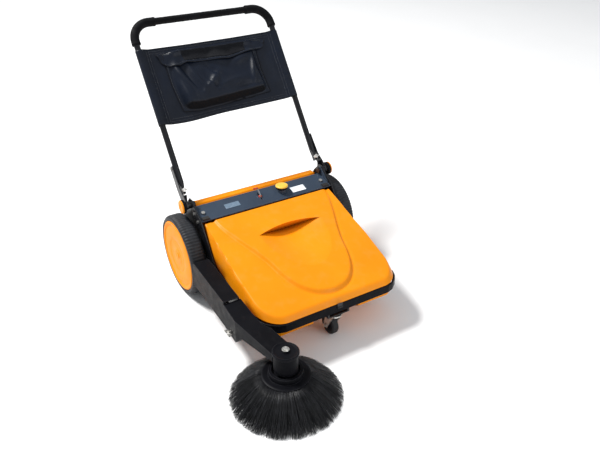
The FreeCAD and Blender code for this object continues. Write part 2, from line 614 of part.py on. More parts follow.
def hood_section(bottom_half, top_half, low, high, grow=0):
    """Half-width at the lower edge, half-width of the top ridge, lower and upper height."""
    a, b = bottom_half - grow, top_half - grow
    return [(-a, low), (a, low), (b, high - 10 - grow), (b - 12, high - grow), (12 - b, high - grow),
            (-b, high - 10 - grow)]


def hood():
    rows = ((-84, 266, 262, 288, 302), (-126, 267, 262, 244, 289.6), (-192, 268.5, 261, 174, 269.7),
            (-240, 269.8, 261, 171, 255), (-330, 275, 264, 165.5, 228), (-430, 273, 261, 159.5, 197.8), (-480, 264.5, 253, 156.5, 182.7),
            (-515, 246, 235, 154.5, 172), (-545, 190, 180, 152.5, 163))
    outer = loft("hood_outer", [(y, hood_section(a, b, low, high)) for y, a, b, low, high in rows])
    inner_rows = []
    for index, (y, a, b, low, high) in enumerate(rows):
        station = (-88, -126, -192, -240, -330, -430, -482, -512, -541)[index]
        inner_rows.append((station, hood_section(a, b, low - 30, high, 4)))
    inner = loft("hood_inner", inner_rows)
    shell = cut("hood_shell", outer, [inner])
    knuckles = []
    for side, sign in SIDES:
        low, high = span(sign, 200, 230)
        barrel = rod(side + "_knuckle", "X", 7, low, high, ("hinge_y", "hinge_z"))
        web = box(side + "_knuckle_web", (low, "hinge_y - 5", "hinge_z"), (high, "hinge_y + 5", 296))
        bore = rod(side + "_knuckle_bore", "X", 3.05, f"{low} - 1", f"{high} + 1", ("hinge_y", "hinge_z"))
        knuckles.append(cut(side + "_hood_knuckle", fuse(side + "_knuckle_blank", [barrel, web]), [bore]))
    keep("hood", fuse("hood", [shell, *knuckles]))


def catch():
    plate = box("catch_plate", (-10, "front_y - 6.8", 141), (10, "front_y - 4.3", 157))
    roll = rod("catch_roll", "X", 2.5, -10, 10, ("front_y - 6.8", 141))
    keep("hood_catch", fuse("hood_catch", [plate, roll]))


# ---- controls ----

def controls():
    spot = ("knob_x", "knob_y")
    screw = rod("height_knob_screw", "Z", 6, 275, 340, spot)
    skirt = rod("height_knob_base", "Z", "knob_radius", 330.3, 340, spot)
    keep("height_knob", fuse("height_knob", [screw, skirt]))
    cap = turned("height_knob_cap", "Z", [(0, 340), ("knob_radius - 1", 340), ("knob_radius - 1", 344),
                                          ("knob_radius - 4", 346.4), (0, 347)], ("knob_x", "knob_y", 0))
    keep("height_knob_cap", cap)
    blade = prism("lever_sheet", "YZ_Plane", [("lever_y - 6", "lever_z"), ("lever_y", "lever_z - 6"),
                                              ("lever_y + 6", "lever_z"), ("lever_y + 6", 326), (-18, 344), (-23, 347),
                                              ("lever_y - 4", 330)], "lever_x - 2", "lever_x + 2")
    hole = rod("lever_hole", "X", 2.55, "lever_x - 3", "lever_x + 3", ("lever_y", "lever_z"))
    keep("lever_blade", cut("lever_blade", blade, [hole]))
    cap = box("lever_cap", ("lever_x - 17", -28, 344), ("lever_x + 4", -10, 351))
    keep("lever_grip", cut("lever_grip", cap, [blade]))


# ---- handle ----

def upright(name, pieces):
    """Fuse pieces drawn in the handle's own frame and lean them back."""
    item = fuse(name, pieces) if len(pieces) > 1 else pieces[0]
    item.Placement = FreeCAD.Placement(V(0, number("leg_y"), number("leg_z")),
                                       FreeCAD.Rotation(V(1, 0, 0), -number("lean")))
    item.setExpression(".Placement.Base.y", text("leg_y"))
    item.setExpression(".Placement.Base.z", text("leg_z"))
    return item


def bend(name, sign, inner, outer):
    """A quarter bend at one upper corner of the handle, solid when inner is zero."""
    centre = (f"{sign} * (leg_half - bend_radius)", 0, "handle_length - bend_radius")
    turn = FreeCAD.Rotation(V(1, 0, 0), 90).multiply(FreeCAD.Rotation(V(0, 0, 1), 0 if sign > 0 else 90))
    rings = []
    for suffix, radius in (("_out", outer), ("_in", inner)):
        if radius:
            ring = new("Part::Torus", name + suffix)
            ring.setExpression("Radius1", text("bend_radius"))
            ring.setExpression("Radius2", text(radius))
            ring.Angle3 = 90
            rings.append(put(ring, *centre, turn))
    return cut(name, rings[0], rings[1:]) if len(rings) > 1 else rings[0]


def handle():
    legs, bends = [], []
    top = "handle_length - bend_radius"
    for side, sign in SIDES:
        legs.append(rod(side + "_leg", "Z", "tube_radius", 22, top, (f"{sign} * leg_half", 0)))
        legs.append(common(side + "_leg_end", rod(side + "_leg_end_round", "Z", "tube_radius", -27, 22,
                                                  (f"{sign} * leg_half", 0)),
                           prism(side + "_leg_end_flat", "XZ_Plane",
                                 [(f"{sign} * leg_half + ({x})", z) for x, z in
                                  ((-11, 23), (11, 23), (4.5, -4), (4.5, -28), (-4.5, -28), (-4.5, -4))], -12, 12)))
        bends.append(bend(side + "_bend", sign, None, "tube_radius"))
    bar = rod("top_bar", "X", "tube_radius", "bend_radius - leg_half", "leg_half - bend_radius", (0, "handle_length"))
    keep("handle_tube", upright("handle_tube", legs + bends + [bar]))
    keep("middle_grip", upright("middle_grip", [tube("middle_grip", "X", "tube_radius + gap", "grip_radius", -182, 182,
                                                     (0, "handle_length"))]))
    grips = []
    for side, sign in SIDES:
        sleeve = "tube_radius + gap"
        low = tube(side + "_grip_low", "Z", sleeve, "elbow_radius", "handle_length - bend_radius - 14", top,
                   (f"{sign} * leg_half", 0))
        end = tube(side + "_grip_end", "X", sleeve, "elbow_radius", *span(sign, 184, "leg_half - bend_radius"),
                   (0, "handle_length"))
        corner = bend(side + "_grip_bend", sign, sleeve, "elbow_radius")
        grips.append(fuse(side + "_elbow_grip", [low, end, corner]))
    keep("elbow_grips", upright("elbow_grips", [group("elbow_grips", grips)]))
    fabric()


def fabric():
    sleeves = [tube(f"{side}_sleeve", "Z", "tube_radius + 0.4", "tube_radius + 2.2", "panel_low", "panel_high",
                    (f"{sign} * leg_half", 0)) for side, sign in SIDES]
    sheet_panel = box("panel_sheet", ("15 - leg_half - 3.2", -1.2, "panel_low"), ("leg_half - 11.8", 1.2, "panel_high"))
    keep("fabric_panel", upright("fabric_panel", [sheet_panel, *sleeves]))
    pocket = prism("pocket_blank", "YZ_Plane", [("-1.5", "pocket_low"), ("-1.5", "pocket_high"), (-8, "pocket_high - 4"),
                                                ("-pocket_depth * 0.7", "pocket_high - 50"), ("-pocket_depth", "pocket_low + 30"),
                                                ("-pocket_depth * 0.8", "pocket_low + 6")], "-pocket_half", "pocket_half")
    keep("pocket", upright("pocket", [pocket]))


def handle_joints():
    """The two bars the handle swings on, their pivot bolts, the clamp knobs and the wing bolts."""
    pivot = ("pivot_y", "pivot_z")
    bars, bolts, screws = [], [], []
    profile = [(-21, 345), (-16, 334), (-5, 329), (24, 329), (40, 348), (66, 373), (118, 444), (100, 457), (44, 394),
               (-12, 360)]
    for side, sign in SIDES:
        low, high = span(sign, 288.4, 292.4)
        bar = prism(side + "_bar_sheet", "YZ_Plane", profile, low, high)
        web = box(side + "_bar_web", (span(sign, 275.5, 288.9)[0], 20, 329.5), (span(sign, 275.5, 288.9)[1], 24, 372))
        bars.append(cut(side + "_bar", fuse(side + "_bar_whole", [bar, web]),
                        [rod(side + "_bar_hole", "X", 5, f"{low} - 1", f"{high} + 1", pivot)]))
        shank = rod(side + "_shank", "X", 4.95, *span(sign, 259, 305), pivot)
        head = rod(side + "_shank_head", "X", 11, *span(sign, 259, 266.7), pivot)
        collar = rod(side + "_collar", "X", 13, *span(sign, 274.3, 288.1), pivot)
        bolts.append(fuse(side + "_pivot_bolt", [shank, head, collar]))
        knob = rod(side + "_knob_blank", "X", "clamp_radius", *span(sign, 292.7, 307), pivot)
        bore = rod(side + "_knob_bore", "X", 5, *span(sign, 292, 305.3), pivot)
        keep(side + "_clamp_knob", cut(side + "_clamp_knob", knob, [bore]))
        face = [(f"{sign} * 307", 0), (f"{sign} * 307", "clamp_radius - 2"), (f"{sign} * 309", "clamp_radius - 3"),
                (f"{sign} * 311", "clamp_radius - 9"), (f"{sign} * 312", 0)]
        keep(side + "_knob_face", turned(side + "_knob_face", "X", face, (0, *pivot)))
        keep(side + "_wing_bolt", upright(side + "_wing_bolt", leg_wing(side, sign)))
        screws.append(hexagon(side + "_leg_screw", "X", 10, *span(sign, 292.4, 297), (104, 444)))
    keep("handle_bars", group("handle_bars", bars))
    keep("pivot_bolts", group("pivot_bolts", bolts))
    keep("leg_screws", group("leg_screws", screws))


def main():
    side_plates()
    console()
    rear_cover()
    bumper()
    drive_belt()
    wheels()
    main_brush()
    arm()
    arm_drive()
    side_brush()
    caster()
    hopper()
    hood()
    catch()
    controls()
    handle()
    handle_joints()
    doc.recompute()
    write()


def write():
    """Check every object, then write one STEP file per sub-part."""
    faults = [item.Name for item in doc.Objects if "Invalid" in item.State or "Error" in item.State]
    faults += [name for name, item in nodes.items() if item.Shape.isNull() or not item.Shape.isValid()]
    if faults:
        raise ValueError("faulty objects: " + ", ".join(sorted(set(faults))))
    os.makedirs("parts", exist_ok=True)
    for name, item in nodes.items():
        item.Shape.exportStep(f"parts/{name}.step")
        frame = item.Shape.BoundBox
        print(f"{name:22s} solids {len(item.Shape.Solids):2d} volume {item.Shape.Volume / 1000:9.1f} cm3 "
              f"x {frame.XMin:7.1f} {frame.XMax:7.1f} y {frame.YMin:7.1f} {frame.YMax:7.1f} z {frame.ZMin:6.1f} {frame.ZMax:6.1f}")
    print(len(nodes), "sub-parts")


main()
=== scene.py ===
import json
import math
import random

import bmesh
import bpy
import numpy as np
from mathutils import Matrix, Vector


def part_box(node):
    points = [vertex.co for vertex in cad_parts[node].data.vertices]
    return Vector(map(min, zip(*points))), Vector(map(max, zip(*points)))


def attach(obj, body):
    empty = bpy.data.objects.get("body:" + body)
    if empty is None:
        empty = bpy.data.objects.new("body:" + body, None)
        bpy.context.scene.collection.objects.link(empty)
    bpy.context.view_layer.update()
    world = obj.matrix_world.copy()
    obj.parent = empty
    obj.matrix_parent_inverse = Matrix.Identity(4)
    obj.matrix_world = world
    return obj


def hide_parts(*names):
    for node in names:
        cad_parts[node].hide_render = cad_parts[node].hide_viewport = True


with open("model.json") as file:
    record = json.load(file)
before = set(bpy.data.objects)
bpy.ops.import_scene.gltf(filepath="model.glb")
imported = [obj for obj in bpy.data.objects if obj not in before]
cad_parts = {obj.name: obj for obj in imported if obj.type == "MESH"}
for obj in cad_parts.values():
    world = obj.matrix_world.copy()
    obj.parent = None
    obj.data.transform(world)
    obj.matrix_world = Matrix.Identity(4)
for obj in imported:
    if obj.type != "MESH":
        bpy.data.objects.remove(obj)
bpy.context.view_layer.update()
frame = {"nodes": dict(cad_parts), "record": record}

MM = 0.001

# The push handle's own frame: its legs run along local Z, and local -Y faces forward.
HANDLE_TILT = math.radians(-36.4)
HANDLE = Matrix.Translation((0, 0.056, 0.389)) @ Matrix.Rotation(HANDLE_TILT, 4, "X")


# ---- finishes

class Finish:
    """One procedural material. Textures are laid out in metres, in object space."""

    def __init__(self, name, turn=0.0, **sockets):
        self.material = bpy.data.materials.new(name)
        self.material.use_nodes = True
        self.tree = self.material.node_tree
        self.shader = self.tree.nodes["Principled BSDF"]
        for socket, value in sockets.items():
            self.shader.inputs[socket.replace("_", " ")].default_value = value
        self.where = self.tree.nodes.new("ShaderNodeTexCoord").outputs["Object"]
        if turn:
            self.where = self.stretch((1, 1, 1), turn)
        self.bumps = None

    def node(self, kind, links=(), **settings):
        """A shader node. links gives each input a number or another node's output."""
        made = self.tree.nodes.new("ShaderNode" + kind)
        for key, value in settings.items():
            setattr(made, key, value)
        for key, value in links:
            if isinstance(value, bpy.types.NodeSocket):
                self.tree.links.new(value, made.inputs[key])
            else:
                made.inputs[key].default_value = value
        return made

    def stretch(self, scale, turn=0.0):
        return self.node("Mapping", [("Vector", self.where), ("Scale", scale), ("Rotation", (turn, 0, 0))]).outputs[0]

    def noise(self, scale, detail=3.0, stretch=None, distortion=0.0):
        vector = self.stretch(stretch) if stretch else self.where
        return self.node("TexNoise", [("Vector", vector), ("Scale", scale), ("Detail", detail),
                                      ("Distortion", distortion)]).outputs["Fac"]

    def cells(self, scale, stretch=None):
        vector = self.stretch(stretch) if stretch else self.where
        return self.node("TexVoronoi", [("Vector", vector), ("Scale", scale)]).outputs["Distance"]

    def bands(self, scale, direction, shape="SIN"):
        return self.node("TexWave", [("Vector", self.where), ("Scale", scale)],
                         bands_direction=direction, wave_profile=shape).outputs["Fac"]

    def remap(self, value, low=0.3, high=0.7, to_low=0, to_high=1):
        return self.node("MapRange", [("Value", value), ("From Min", low), ("From Max", high),
                                      ("To Min", to_low), ("To Max", to_high)]).outputs[0]

    def multiply(self, a, b):
        return self.node("Math", [(0, a), (1, b)], operation="MULTIPLY").outputs[0]

    def largest(self, a, b):
        return self.node("Math", [(0, a), (1, b)], operation="MAXIMUM").outputs[0]

    def mixed(self, amount, a, b):
        a, b = (value if isinstance(value, bpy.types.NodeSocket) else (*value, 1) for value in (a, b))
        return self.node("Mix", [(0, amount), (6, a), (7, b)], data_type="RGBA").outputs[2]

    def cloud(self, scale, detail, dark, light):
        """Two shades of a colour, mixed in soft clouds."""
        return self.mixed(self.remap(self.noise(scale, detail)), dark, light)

    def colour(self, socket):
        self.tree.links.new(socket, self.shader.inputs["Base Color"])

    def rough(self, socket):
        self.tree.links.new(socket, self.shader.inputs["Roughness"])

    def grain(self, scale, detail, low, high, stretch=None):
        """Roughness that wanders between low and high."""
        self.rough(self.remap(self.noise(scale, detail, stretch), 0.3, 0.7, low, high))

    def bump(self, height, depth_mm, strength=1.0):
        made = self.node("Bump", [("Height", height), ("Distance", depth_mm * MM), ("Strength", strength)])
        if self.bumps:
            self.tree.links.new(self.bumps, made.inputs["Normal"])
        self.bumps = made.outputs[0]
        self.tree.links.new(self.bumps, self.shader.inputs["Normal"])

    def edges(self, radius_mm, low=0.02, high=0.25):
        """High along the outer edges of the part, for the wear there."""
        soft = self.node("Bevel", [("Radius", radius_mm * MM)], samples=4).outputs[0]
        true = self.node("NewGeometry").outputs["True Normal"]
        dot = self.node("VectorMath", [(0, soft), (1, true)], operation="DOT_PRODUCT").outputs["Value"]
        return self.remap(dot, 1 - low, 1 - high, 0, 1)


def yellow_plastic(name="yellow_plastic", gloss=0.17, coat=0.04):
    f = Finish(name, IOR=1.46, Specular_IOR_Level=gloss, Coat_Weight=coat, Coat_Roughness=0.16)
    base = f.cloud(7, 4, (0.86, 0.262, 0.0026), (0.90, 0.292, 0.0040))
    scuff = f.remap(f.noise(90, 6, (1, 0.12, 1), 1.2), 0.62, 0.80, 0, 0.30)
    base = f.mixed(scuff, base, (0.80, 0.33, 0.05))
    dust = f.remap(f.noise(28, 8), 0.5, 0.85, 0, 0.10)
    base = f.mixed(dust, base, (0.62, 0.42, 0.20))
    # Recesses such as the finger slot are darkened to a deep red-brown by ambient occlusion: painted shade.
    occlusion_for_painted_shade = f.node("AmbientOcclusion", [("Distance", 40 * MM)], samples=6).outputs["AO"]
    f.colour(f.mixed(f.remap(occlusion_for_painted_shade, 0.62, 0.22), base, (0.20, 0.026, 0.001)))
    f.rough(f.remap(f.largest(f.noise(40, 5), scuff), 0.3, 0.8, 0.30, 0.46))
    f.bump(f.noise(900, 2), 0.06, 0.5)
    f.bump(f.noise(14, 2), 0.5, 0.25)
    return f.material


def black_plastic():
    f = Finish("black_grained_plastic", Specular_IOR_Level=0.07)
    base = f.cloud(11, 5, (0.0026, 0.0027, 0.0040), (0.0052, 0.0054, 0.0076))
    base = f.mixed(f.edges(2.5), base, (0.045, 0.045, 0.052))
    dust = f.remap(f.noise(60, 8, (1, 0.5, 1), 0.6), 0.56, 0.86, 0, 0.12)
    f.colour(f.mixed(dust, base, (0.050, 0.048, 0.048)))
    f.grain(35, 5, 0.38, 0.54)
    f.bump(f.cells(1300), 0.10, 0.6)
    return f.material


def powder_coat(name, dark, light, worn, low, high):
    f = Finish(name, Specular_IOR_Level=0.32)
    base = f.cloud(9, 4, dark, light)
    chips = f.multiply(f.edges(1.6), f.remap(f.noise(160, 4), 0.42, 0.60))
    base = f.mixed(chips, base, worn)
    dust = f.remap(f.noise(45, 8), 0.55, 0.9, 0, 0.18)
    f.colour(f.mixed(dust, base, (0.07, 0.07, 0.075)))
    f.grain(50, 4, low, high)
    f.bump(f.noise(700, 3), 0.10, 0.55)
    return f.material


def tyre_rubber():
    f = Finish("tyre_rubber", Specular_IOR_Level=0.4)
    base = f.cloud(14, 5, (0.0065, 0.0075, 0.0105), (0.0150, 0.0170, 0.0220))
    dust = f.remap(f.noise(38, 9), 0.48, 0.8, 0, 0.35)
    f.colour(f.mixed(dust, base, (0.048, 0.052, 0.058)))
    f.grain(60, 5, 0.50, 0.72)
    f.bump(f.noise(600, 4), 0.15, 0.6)
    return f.material


def nylon():
    f = Finish("coated_nylon", turn=-HANDLE_TILT, Specular_IOR_Level=0.26)
    base = f.cloud(8, 4, (0.0020, 0.0044, 0.0110), (0.0040, 0.0082, 0.0195))
    rub = f.remap(f.noise(30, 7, (1, 1, 0.4), 0.8), 0.55, 0.85, 0, 0.3)
    base = f.mixed(rub, base, (0.014, 0.020, 0.032))
    # The faces that look down get painted shade in their colour, and are dull.
    facing_for_shade_and_dullness = f.node("SeparateXYZ", [("Vector", f.node("NewGeometry").outputs["Normal"])]).outputs["Z"]
    f.colour(f.mixed(f.remap(facing_for_shade_and_dullness, 0.30, -0.30, 0, 0.85), base, (0.0008, 0.0010, 0.0016)))
    f.rough(f.largest(f.remap(f.noise(22, 5), 0.3, 0.7, 0.30, 0.46), f.remap(facing_for_shade_and_dullness, 0.25, -0.25, 0.0, 0.95)))
    weave = f.largest(f.bands(330, "X"), f.bands(330, "Z"))
    f.bump(weave, 0.12, 0.6)
    f.bump(f.noise(55, 3, (1, 1, 0.6), 0.5), 0.7, 0.5)
    return f.material


def webbing():
    f = Finish("woven_binding", turn=-HANDLE_TILT, Sheen_Weight=0.04, Sheen_Roughness=0.5, Specular_IOR_Level=0.12)
    f.colour(f.mixed(f.remap(f.bands(500, "X"), 0, 1), (0.0035, 0.0040, 0.0058), (0.0085, 0.0095, 0.0130)))
    f.grain(60, 4, 0.6, 0.8)
    f.bump(f.largest(f.bands(420, "X"), f.bands(300, "Z")), 0.25, 0.8)
    return f.material


def foam():
    f = Finish("grip_foam", Specular_IOR_Level=0.12)
    f.colour(f.cloud(20, 6, (0.0026, 0.0028, 0.0036), (0.0058, 0.0060, 0.0075)))
    f.grain(50, 4, 0.66, 0.85)
    f.bump(f.cells(700), 0.30, 0.8)
    f.bump(f.noise(90, 4), 0.5, 0.4)
    return f.material


def zinc():
    f = Finish("zinc_plate", Metallic=1.0)
    stain = f.remap(f.noise(160, 8), 0.55, 0.8, 0, 0.6)
    base = f.cloud(80, 5, (0.50, 0.49, 0.46), (0.74, 0.73, 0.70))
    f.colour(f.mixed(stain, base, (0.30, 0.28, 0.25)))
    f.grain(220, 5, 0.24, 0.46)
    f.bump(f.noise(500, 4), 0.05, 0.6)
    return f.material


def steel():
    f = Finish("turned_steel", Metallic=1.0)
    f.colour(f.cloud(60, 6, (0.36, 0.36, 0.37), (0.58, 0.58, 0.59)))
    f.grain(30, 4, 0.22, 0.42, (30, 1, 1))
    f.bump(f.noise(200, 3, (12, 1, 1)), 0.04, 0.7)
    return f.material


def bristle():
    f = Finish("plastic_bristle", Specular_IOR_Level=0.5)
    base = f.mixed(f.remap(f.noise(60, 3), 0.35, 0.65), (0.0030, 0.0033, 0.0045), (0.0150, 0.0158, 0.0195))
    # Lighter grey flecks along the strands are painted highlights, standing in for their glints.
    f.colour(f.mixed(f.remap(f.noise(420, 2), 0.55, 0.75, 0, 0.5), base, (0.070, 0.072, 0.080)))
    f.grain(120, 3, 0.34, 0.52)
    f.bump(f.noise(900, 2), 0.05, 0.5)
    return f.material


def blank_label(name, tint):
    f = Finish(name, Coat_Weight=0.3, Coat_Roughness=0.15)
    pale = f.cloud(60, 4, tint, tuple(min(1, 1.12 * c) for c in tint))
    smudge = f.remap(f.noise(130, 6, (0.4, 1, 1), 1.0), 0.52, 0.70, 0, 0.35)
    f.colour(f.mixed(smudge, pale, (0.36, 0.42, 0.55)))
    f.grain(90, 4, 0.22, 0.40)
    f.bump(f.noise(300, 3), 0.05, 0.4)
    return f.material


def plain(name, dark, light, cloud, grain, bump, **sockets):
    """A finish of two shades in clouds, with wandering roughness and a fine bump.

    cloud is (scale, detail), grain (scale, detail, low, high), and bump (scale, detail, depth in mm, strength).
    """
    f = Finish(name, **sockets)
    f.colour(f.cloud(*cloud, dark, light))
    f.grain(*grain)
    scale, detail, depth_mm, strength = bump
    f.bump(f.noise(scale, detail), depth_mm, strength)
    return f.material


FINISHES = {
    "yellow": yellow_plastic(),
    "dark_plastic": black_plastic(),
    "white_plastic": plain("gear_plastic", (0.62, 0.61, 0.57), (0.75, 0.74, 0.70), (30, 5), (90, 4, 0.40, 0.55),
                           (500, 3, 0.06, 0.5)),
    "red_plastic": plain("red_plastic", (0.42, 0.022, 0.010), (0.62, 0.055, 0.018), (120, 4), (200, 4, 0.28, 0.42),
                         (900, 2, 0.05, 0.5), Coat_Weight=0.2, Coat_Roughness=0.2),
    "frame_black": powder_coat("black_powder_coat", (0.0045, 0.0048, 0.0065), (0.0090, 0.0095, 0.0125),
                               (0.12, 0.12, 0.12), 0.26, 0.40),
    "console_blue": powder_coat("blue_grey_powder_coat", (0.022, 0.036, 0.060), (0.032, 0.050, 0.080),
                                (0.22, 0.25, 0.29), 0.42, 0.58),
    "label": blank_label("white_plate", (0.80, 0.84, 0.88)),
    "zinc": zinc(),
    "steel": steel(),
    "rubber": plain("black_rubber", (0.0055, 0.0055, 0.0062), (0.0120, 0.0120, 0.0132), (25, 5),
                    (70, 5, 0.55, 0.75), (800, 3, 0.08, 0.6)),
    "tyre": tyre_rubber(),
    "bristle": bristle(),
    "grip_foam": foam(),
    "nylon": nylon(),
}
WHEEL_YELLOW = yellow_plastic("wheel_yellow", gloss=0.05, coat=0.0)
DIAL_YELLOW = plain("dial_yellow", (0.80, 0.46, 0.035), (0.88, 0.55, 0.060), (60, 4), (150, 5, 0.28, 0.42),
                    (900, 2, 0.05, 0.5), Coat_Weight=0.2, Coat_Roughness=0.15)
DARK_STEEL = plain("blackened_steel", (0.020, 0.020, 0.022), (0.050, 0.050, 0.054), (70, 5), (180, 4, 0.36, 0.52),
                   (500, 3, 0.05, 0.5), Metallic=0.6, Specular_IOR_Level=0.4)
THREAD = plain("sewing_thread", (0.020, 0.023, 0.030), (0.055, 0.060, 0.072), (900, 2), (300, 2, 0.5, 0.7),
               (2500, 2, 0.05, 0.8), Sheen_Weight=0.4)
WEBBING = webbing()
STUDIO_FLOOR = plain("studio_floor", (0.93, 0.93, 0.93), (0.95, 0.95, 0.95), (0.8, 3), (4, 4, 0.75, 0.9),
                     (250, 3, 0.1, 0.2))
LABELS = {"left": blank_label("grey_plate", (0.13, 0.19, 0.26)), "right": FINISHES["label"]}
# The nodes whose finish differs from their material slot's.
OWN_FINISH = {"hood_catch": DARK_STEEL, "rear_cover": WHEEL_YELLOW}


# ---- mesh tools

def new_object(name, data):
    made = bpy.data.objects.new(name, data)
    bpy.context.scene.collection.objects.link(made)
    return made


def piece(name, points, faces, body, slot, replaces=(), finish=None, smooth=True, crease=None, place=None):
    """A mesh that rides on a CAD body. place moves it from its own frame to the machine's."""
    mesh = bpy.data.meshes.new(name)
    mesh.from_pydata([tuple(float(c) for c in p) for p in points], [], [tuple(int(i) for i in f) for f in faces])
    mesh.validate()
    if place:
        mesh.transform(place)
    if smooth:
        mesh.shade_smooth()
    if crease:
        mesh.set_sharp_from_angle(angle=math.radians(crease))
    made = new_object(name, mesh)
    mesh.materials.append(finish or FINISHES[slot])
    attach(made, body)
    if replaces:
        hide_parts(*replaces)
    return made


def quads(rows, cols, ring=False):
    """Faces of a sheet of rows by cols points; in a ring the last column joins the first."""
    return [(r * cols + c, r * cols + (c + 1) % cols, (r + 1) * cols + (c + 1) % cols, (r + 1) * cols + c)
            for r in range(rows - 1) for c in range(cols if ring else cols - 1)]


class Shapes:
    """Gathers the points and faces of several shapes into one mesh."""

    def __init__(self):
        self.points, self.faces = [], []

    def add(self, points, faces):
        start = len(self.points)
        self.points += [tuple(p) for p in points]
        self.faces += [tuple(start + i for i in f) for f in faces]

    def turned(self, profile, steps, centre, axis="X", wobble=None):
        """A profile of (radius, distance along the axis) turned about the axis through centre.

        An end of radius 0 is a pole. wobble(index, step) adds to the radius there.
        """
        points, faces, rings = [], [], []
        for index, (radius, along) in enumerate(profile):
            ring = []
            for s in range(1 if radius < 1e-9 else steps):
                angle = 2 * math.pi * s / steps
                r = radius + (wobble(index, s) if wobble and radius > 1e-9 else 0)
                across, up = r * math.cos(angle), r * math.sin(angle)
                offset = (along, across, up) if axis == "X" else (across, up, along)
                ring.append(len(points))
                points.append(tuple(c + o for c, o in zip(centre, offset)))
            rings.append(ring)
        for a, b in zip(rings, rings[1:]):
            for s in range(steps):
                t = s + 1
                corners = (a[s % len(a)], a[t % len(a)], b[t % len(b)], b[s % len(b)])
                face = tuple(dict.fromkeys(corners))
                if len(face) > 2:
                    faces.append(face)
        self.add(points, faces)

    def pipe(self, path, radii, sides):
        """A round bar along a path of points, with a radius at each."""
        path = [Vector(p) for p in path]
        points = []
        side = None
        for i, p in enumerate(path):
            ahead = (path[min(i + 1, len(path) - 1)] - path[max(i - 1, 0)]).normalized()
            if side is None:
                side = ahead.orthogonal().normalized()
            side = (side - ahead * side.dot(ahead)).normalized()
            up = ahead.cross(side)
            for s in range(sides):
                a = 2 * math.pi * s / sides
                points.append(p + (side * math.cos(a) + up * math.sin(a)) * radii[i])
        faces = quads(len(path), sides, ring=True)
        faces.append(tuple(range(sides))[::-1])
        faces.append(tuple((len(path) - 1) * sides + s for s in range(sides)))
        self.add(points, faces)

    def build(self, name, body, slot, replaces=(), **look):
        """The gathered shapes as one closed piece."""
        return face_out(piece(name, self.points, self.faces, body, slot, replaces, **look))


def face_out(obj):
    """Turns every face of a closed mesh outwards."""
    work = bmesh.new()
    work.from_mesh(obj.data)
    bmesh.ops.recalc_face_normals(work, faces=work.faces)
    work.to_mesh(obj.data)
    work.free()
    return obj


def thicken(obj, wall_mm, offset):
    wall = obj.modifiers.new("thickness", "SOLIDIFY")
    wall.thickness = wall_mm * MM
    wall.offset = offset


def apply_modifiers(obj):
    graph = bpy.context.evaluated_depsgraph_get()
    baked = bpy.data.meshes.new_from_object(obj.evaluated_get(graph))
    obj.modifiers.clear()
    obj.data = baked
    return obj


def smooth_step(x, low, high):
    t = np.clip((x - low) / (high - low), 0, 1)
    return t * t * (3 - 2 * t)


def smooth_min(a, b, k):
    h = np.maximum(k - np.abs(a - b), 0) / k
    return np.minimum(a, b) - h * h * k / 4


def distance_to(px, py, line):
    """Distance from each point to a polyline, all in one plane."""
    line = np.asarray(line, float)
    best = np.full(px.shape, 1e9)
    for (x0, y0), (x1, y1) in zip(line[:-1], line[1:]):
        dx, dy = x1 - x0, y1 - y0
        t = np.clip(((px - x0) * dx + (py - y0) * dy) / (dx * dx + dy * dy + 1e-12), 0, 1)
        best = np.minimum(best, np.hypot(px - x0 - t * dx, py - y0 - t * dy))
    return best


# ---- CAD nodes that stay

def soften(node, width_mm):
    """Rounds the outer edges of a CAD part that stays, as moulding and coating do."""
    obj = frame["nodes"][node]
    weld = obj.modifiers.new("weld", "WELD")
    weld.merge_threshold = 0.00002
    bevel = obj.modifiers.new("edges", "BEVEL")
    bevel.width = width_mm * MM
    bevel.segments = 2
    bevel.limit_method = "ANGLE"
    bevel.angle_limit = math.radians(35)
    level = obj.modifiers.new("normals", "WEIGHTED_NORMAL")
    level.keep_sharp = True


for part in frame["record"]["subparts"]:
    obj = frame["nodes"][part["node"]]
    for holder in obj.material_slots:
        holder.link = "OBJECT"
        holder.material = OWN_FINISH.get(part["node"], FINISHES[part["material_slot"]])

# ---- hood

HOOD_LOW, HOOD_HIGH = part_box("hood")
HOOD_REAR, HOOD_FRONT = HOOD_HIGH.y / MM, HOOD_LOW.y / MM
HOOD_TOP = HOOD_HIGH.z / MM
HOOD_SLOPE = 0.3015
HOOD_CORNER, HOOD_ROUND = 115, 85
HOOD_TURN = HOOD_FRONT + HOOD_CORNER
# The raised panel's middle, and the finger slot's middle, half-length, bow and depth, with its bowl's length, in mm.
SHIELD_X = 9
SLOT_X, SLOT_Y, SLOT_HALF, SLOT_RISE, SLOT_DEEP, BOWL_LONG = 13, 213, 126, 21, 35, 188


def hood_outline(y):
    """Half-width of the hood's lower edge at y, in mm."""
    half = np.interp(y, [-430, -330, -240, -192, -126, HOOD_REAR], [273, 275, 269.8, 268.5, 267, 266])
    into = np.clip((HOOD_TURN - y) / HOOD_CORNER, 0, 1)
    return half - HOOD_ROUND * (1 - np.sqrt(1 - into ** 2))


def hood_lower(y):
    """Height of the hood's lower edge at y, in mm."""
    return np.interp(y, [HOOD_FRONT, -515, -472, -330, -215, -192, -170, -126, HOOD_REAR],
                     [152.5, 154.5, 157, 165.5, 172, 176, 190, 244, 288])


def outline_round(left, right, ys):
    """The closed line through (left, ys) and back through (right, ys)."""
    return np.concatenate([np.stack([left, ys], 1), np.stack([right, ys], 1)[::-1]])


def shield_half(y):
    """Half-width at y of the raised panel on the hood."""
    return np.interp(-y, [84, 120, 150, 206, 267, 316, 344, 376, 413, 440, 453, 470, 486, 497, 503, 507, 508],
                     [230, 224, 215, 194, 168, 150, 143, 136, 124, 111, 103, 89, 71, 52, 34, 14, 0])


def slot_rise(x):
    """How far the slot's rear edge bows back from its ends at x, in mm."""
    return SLOT_RISE * np.clip(1 - ((x - SLOT_X) / SLOT_HALF) ** 2, 0, 1)


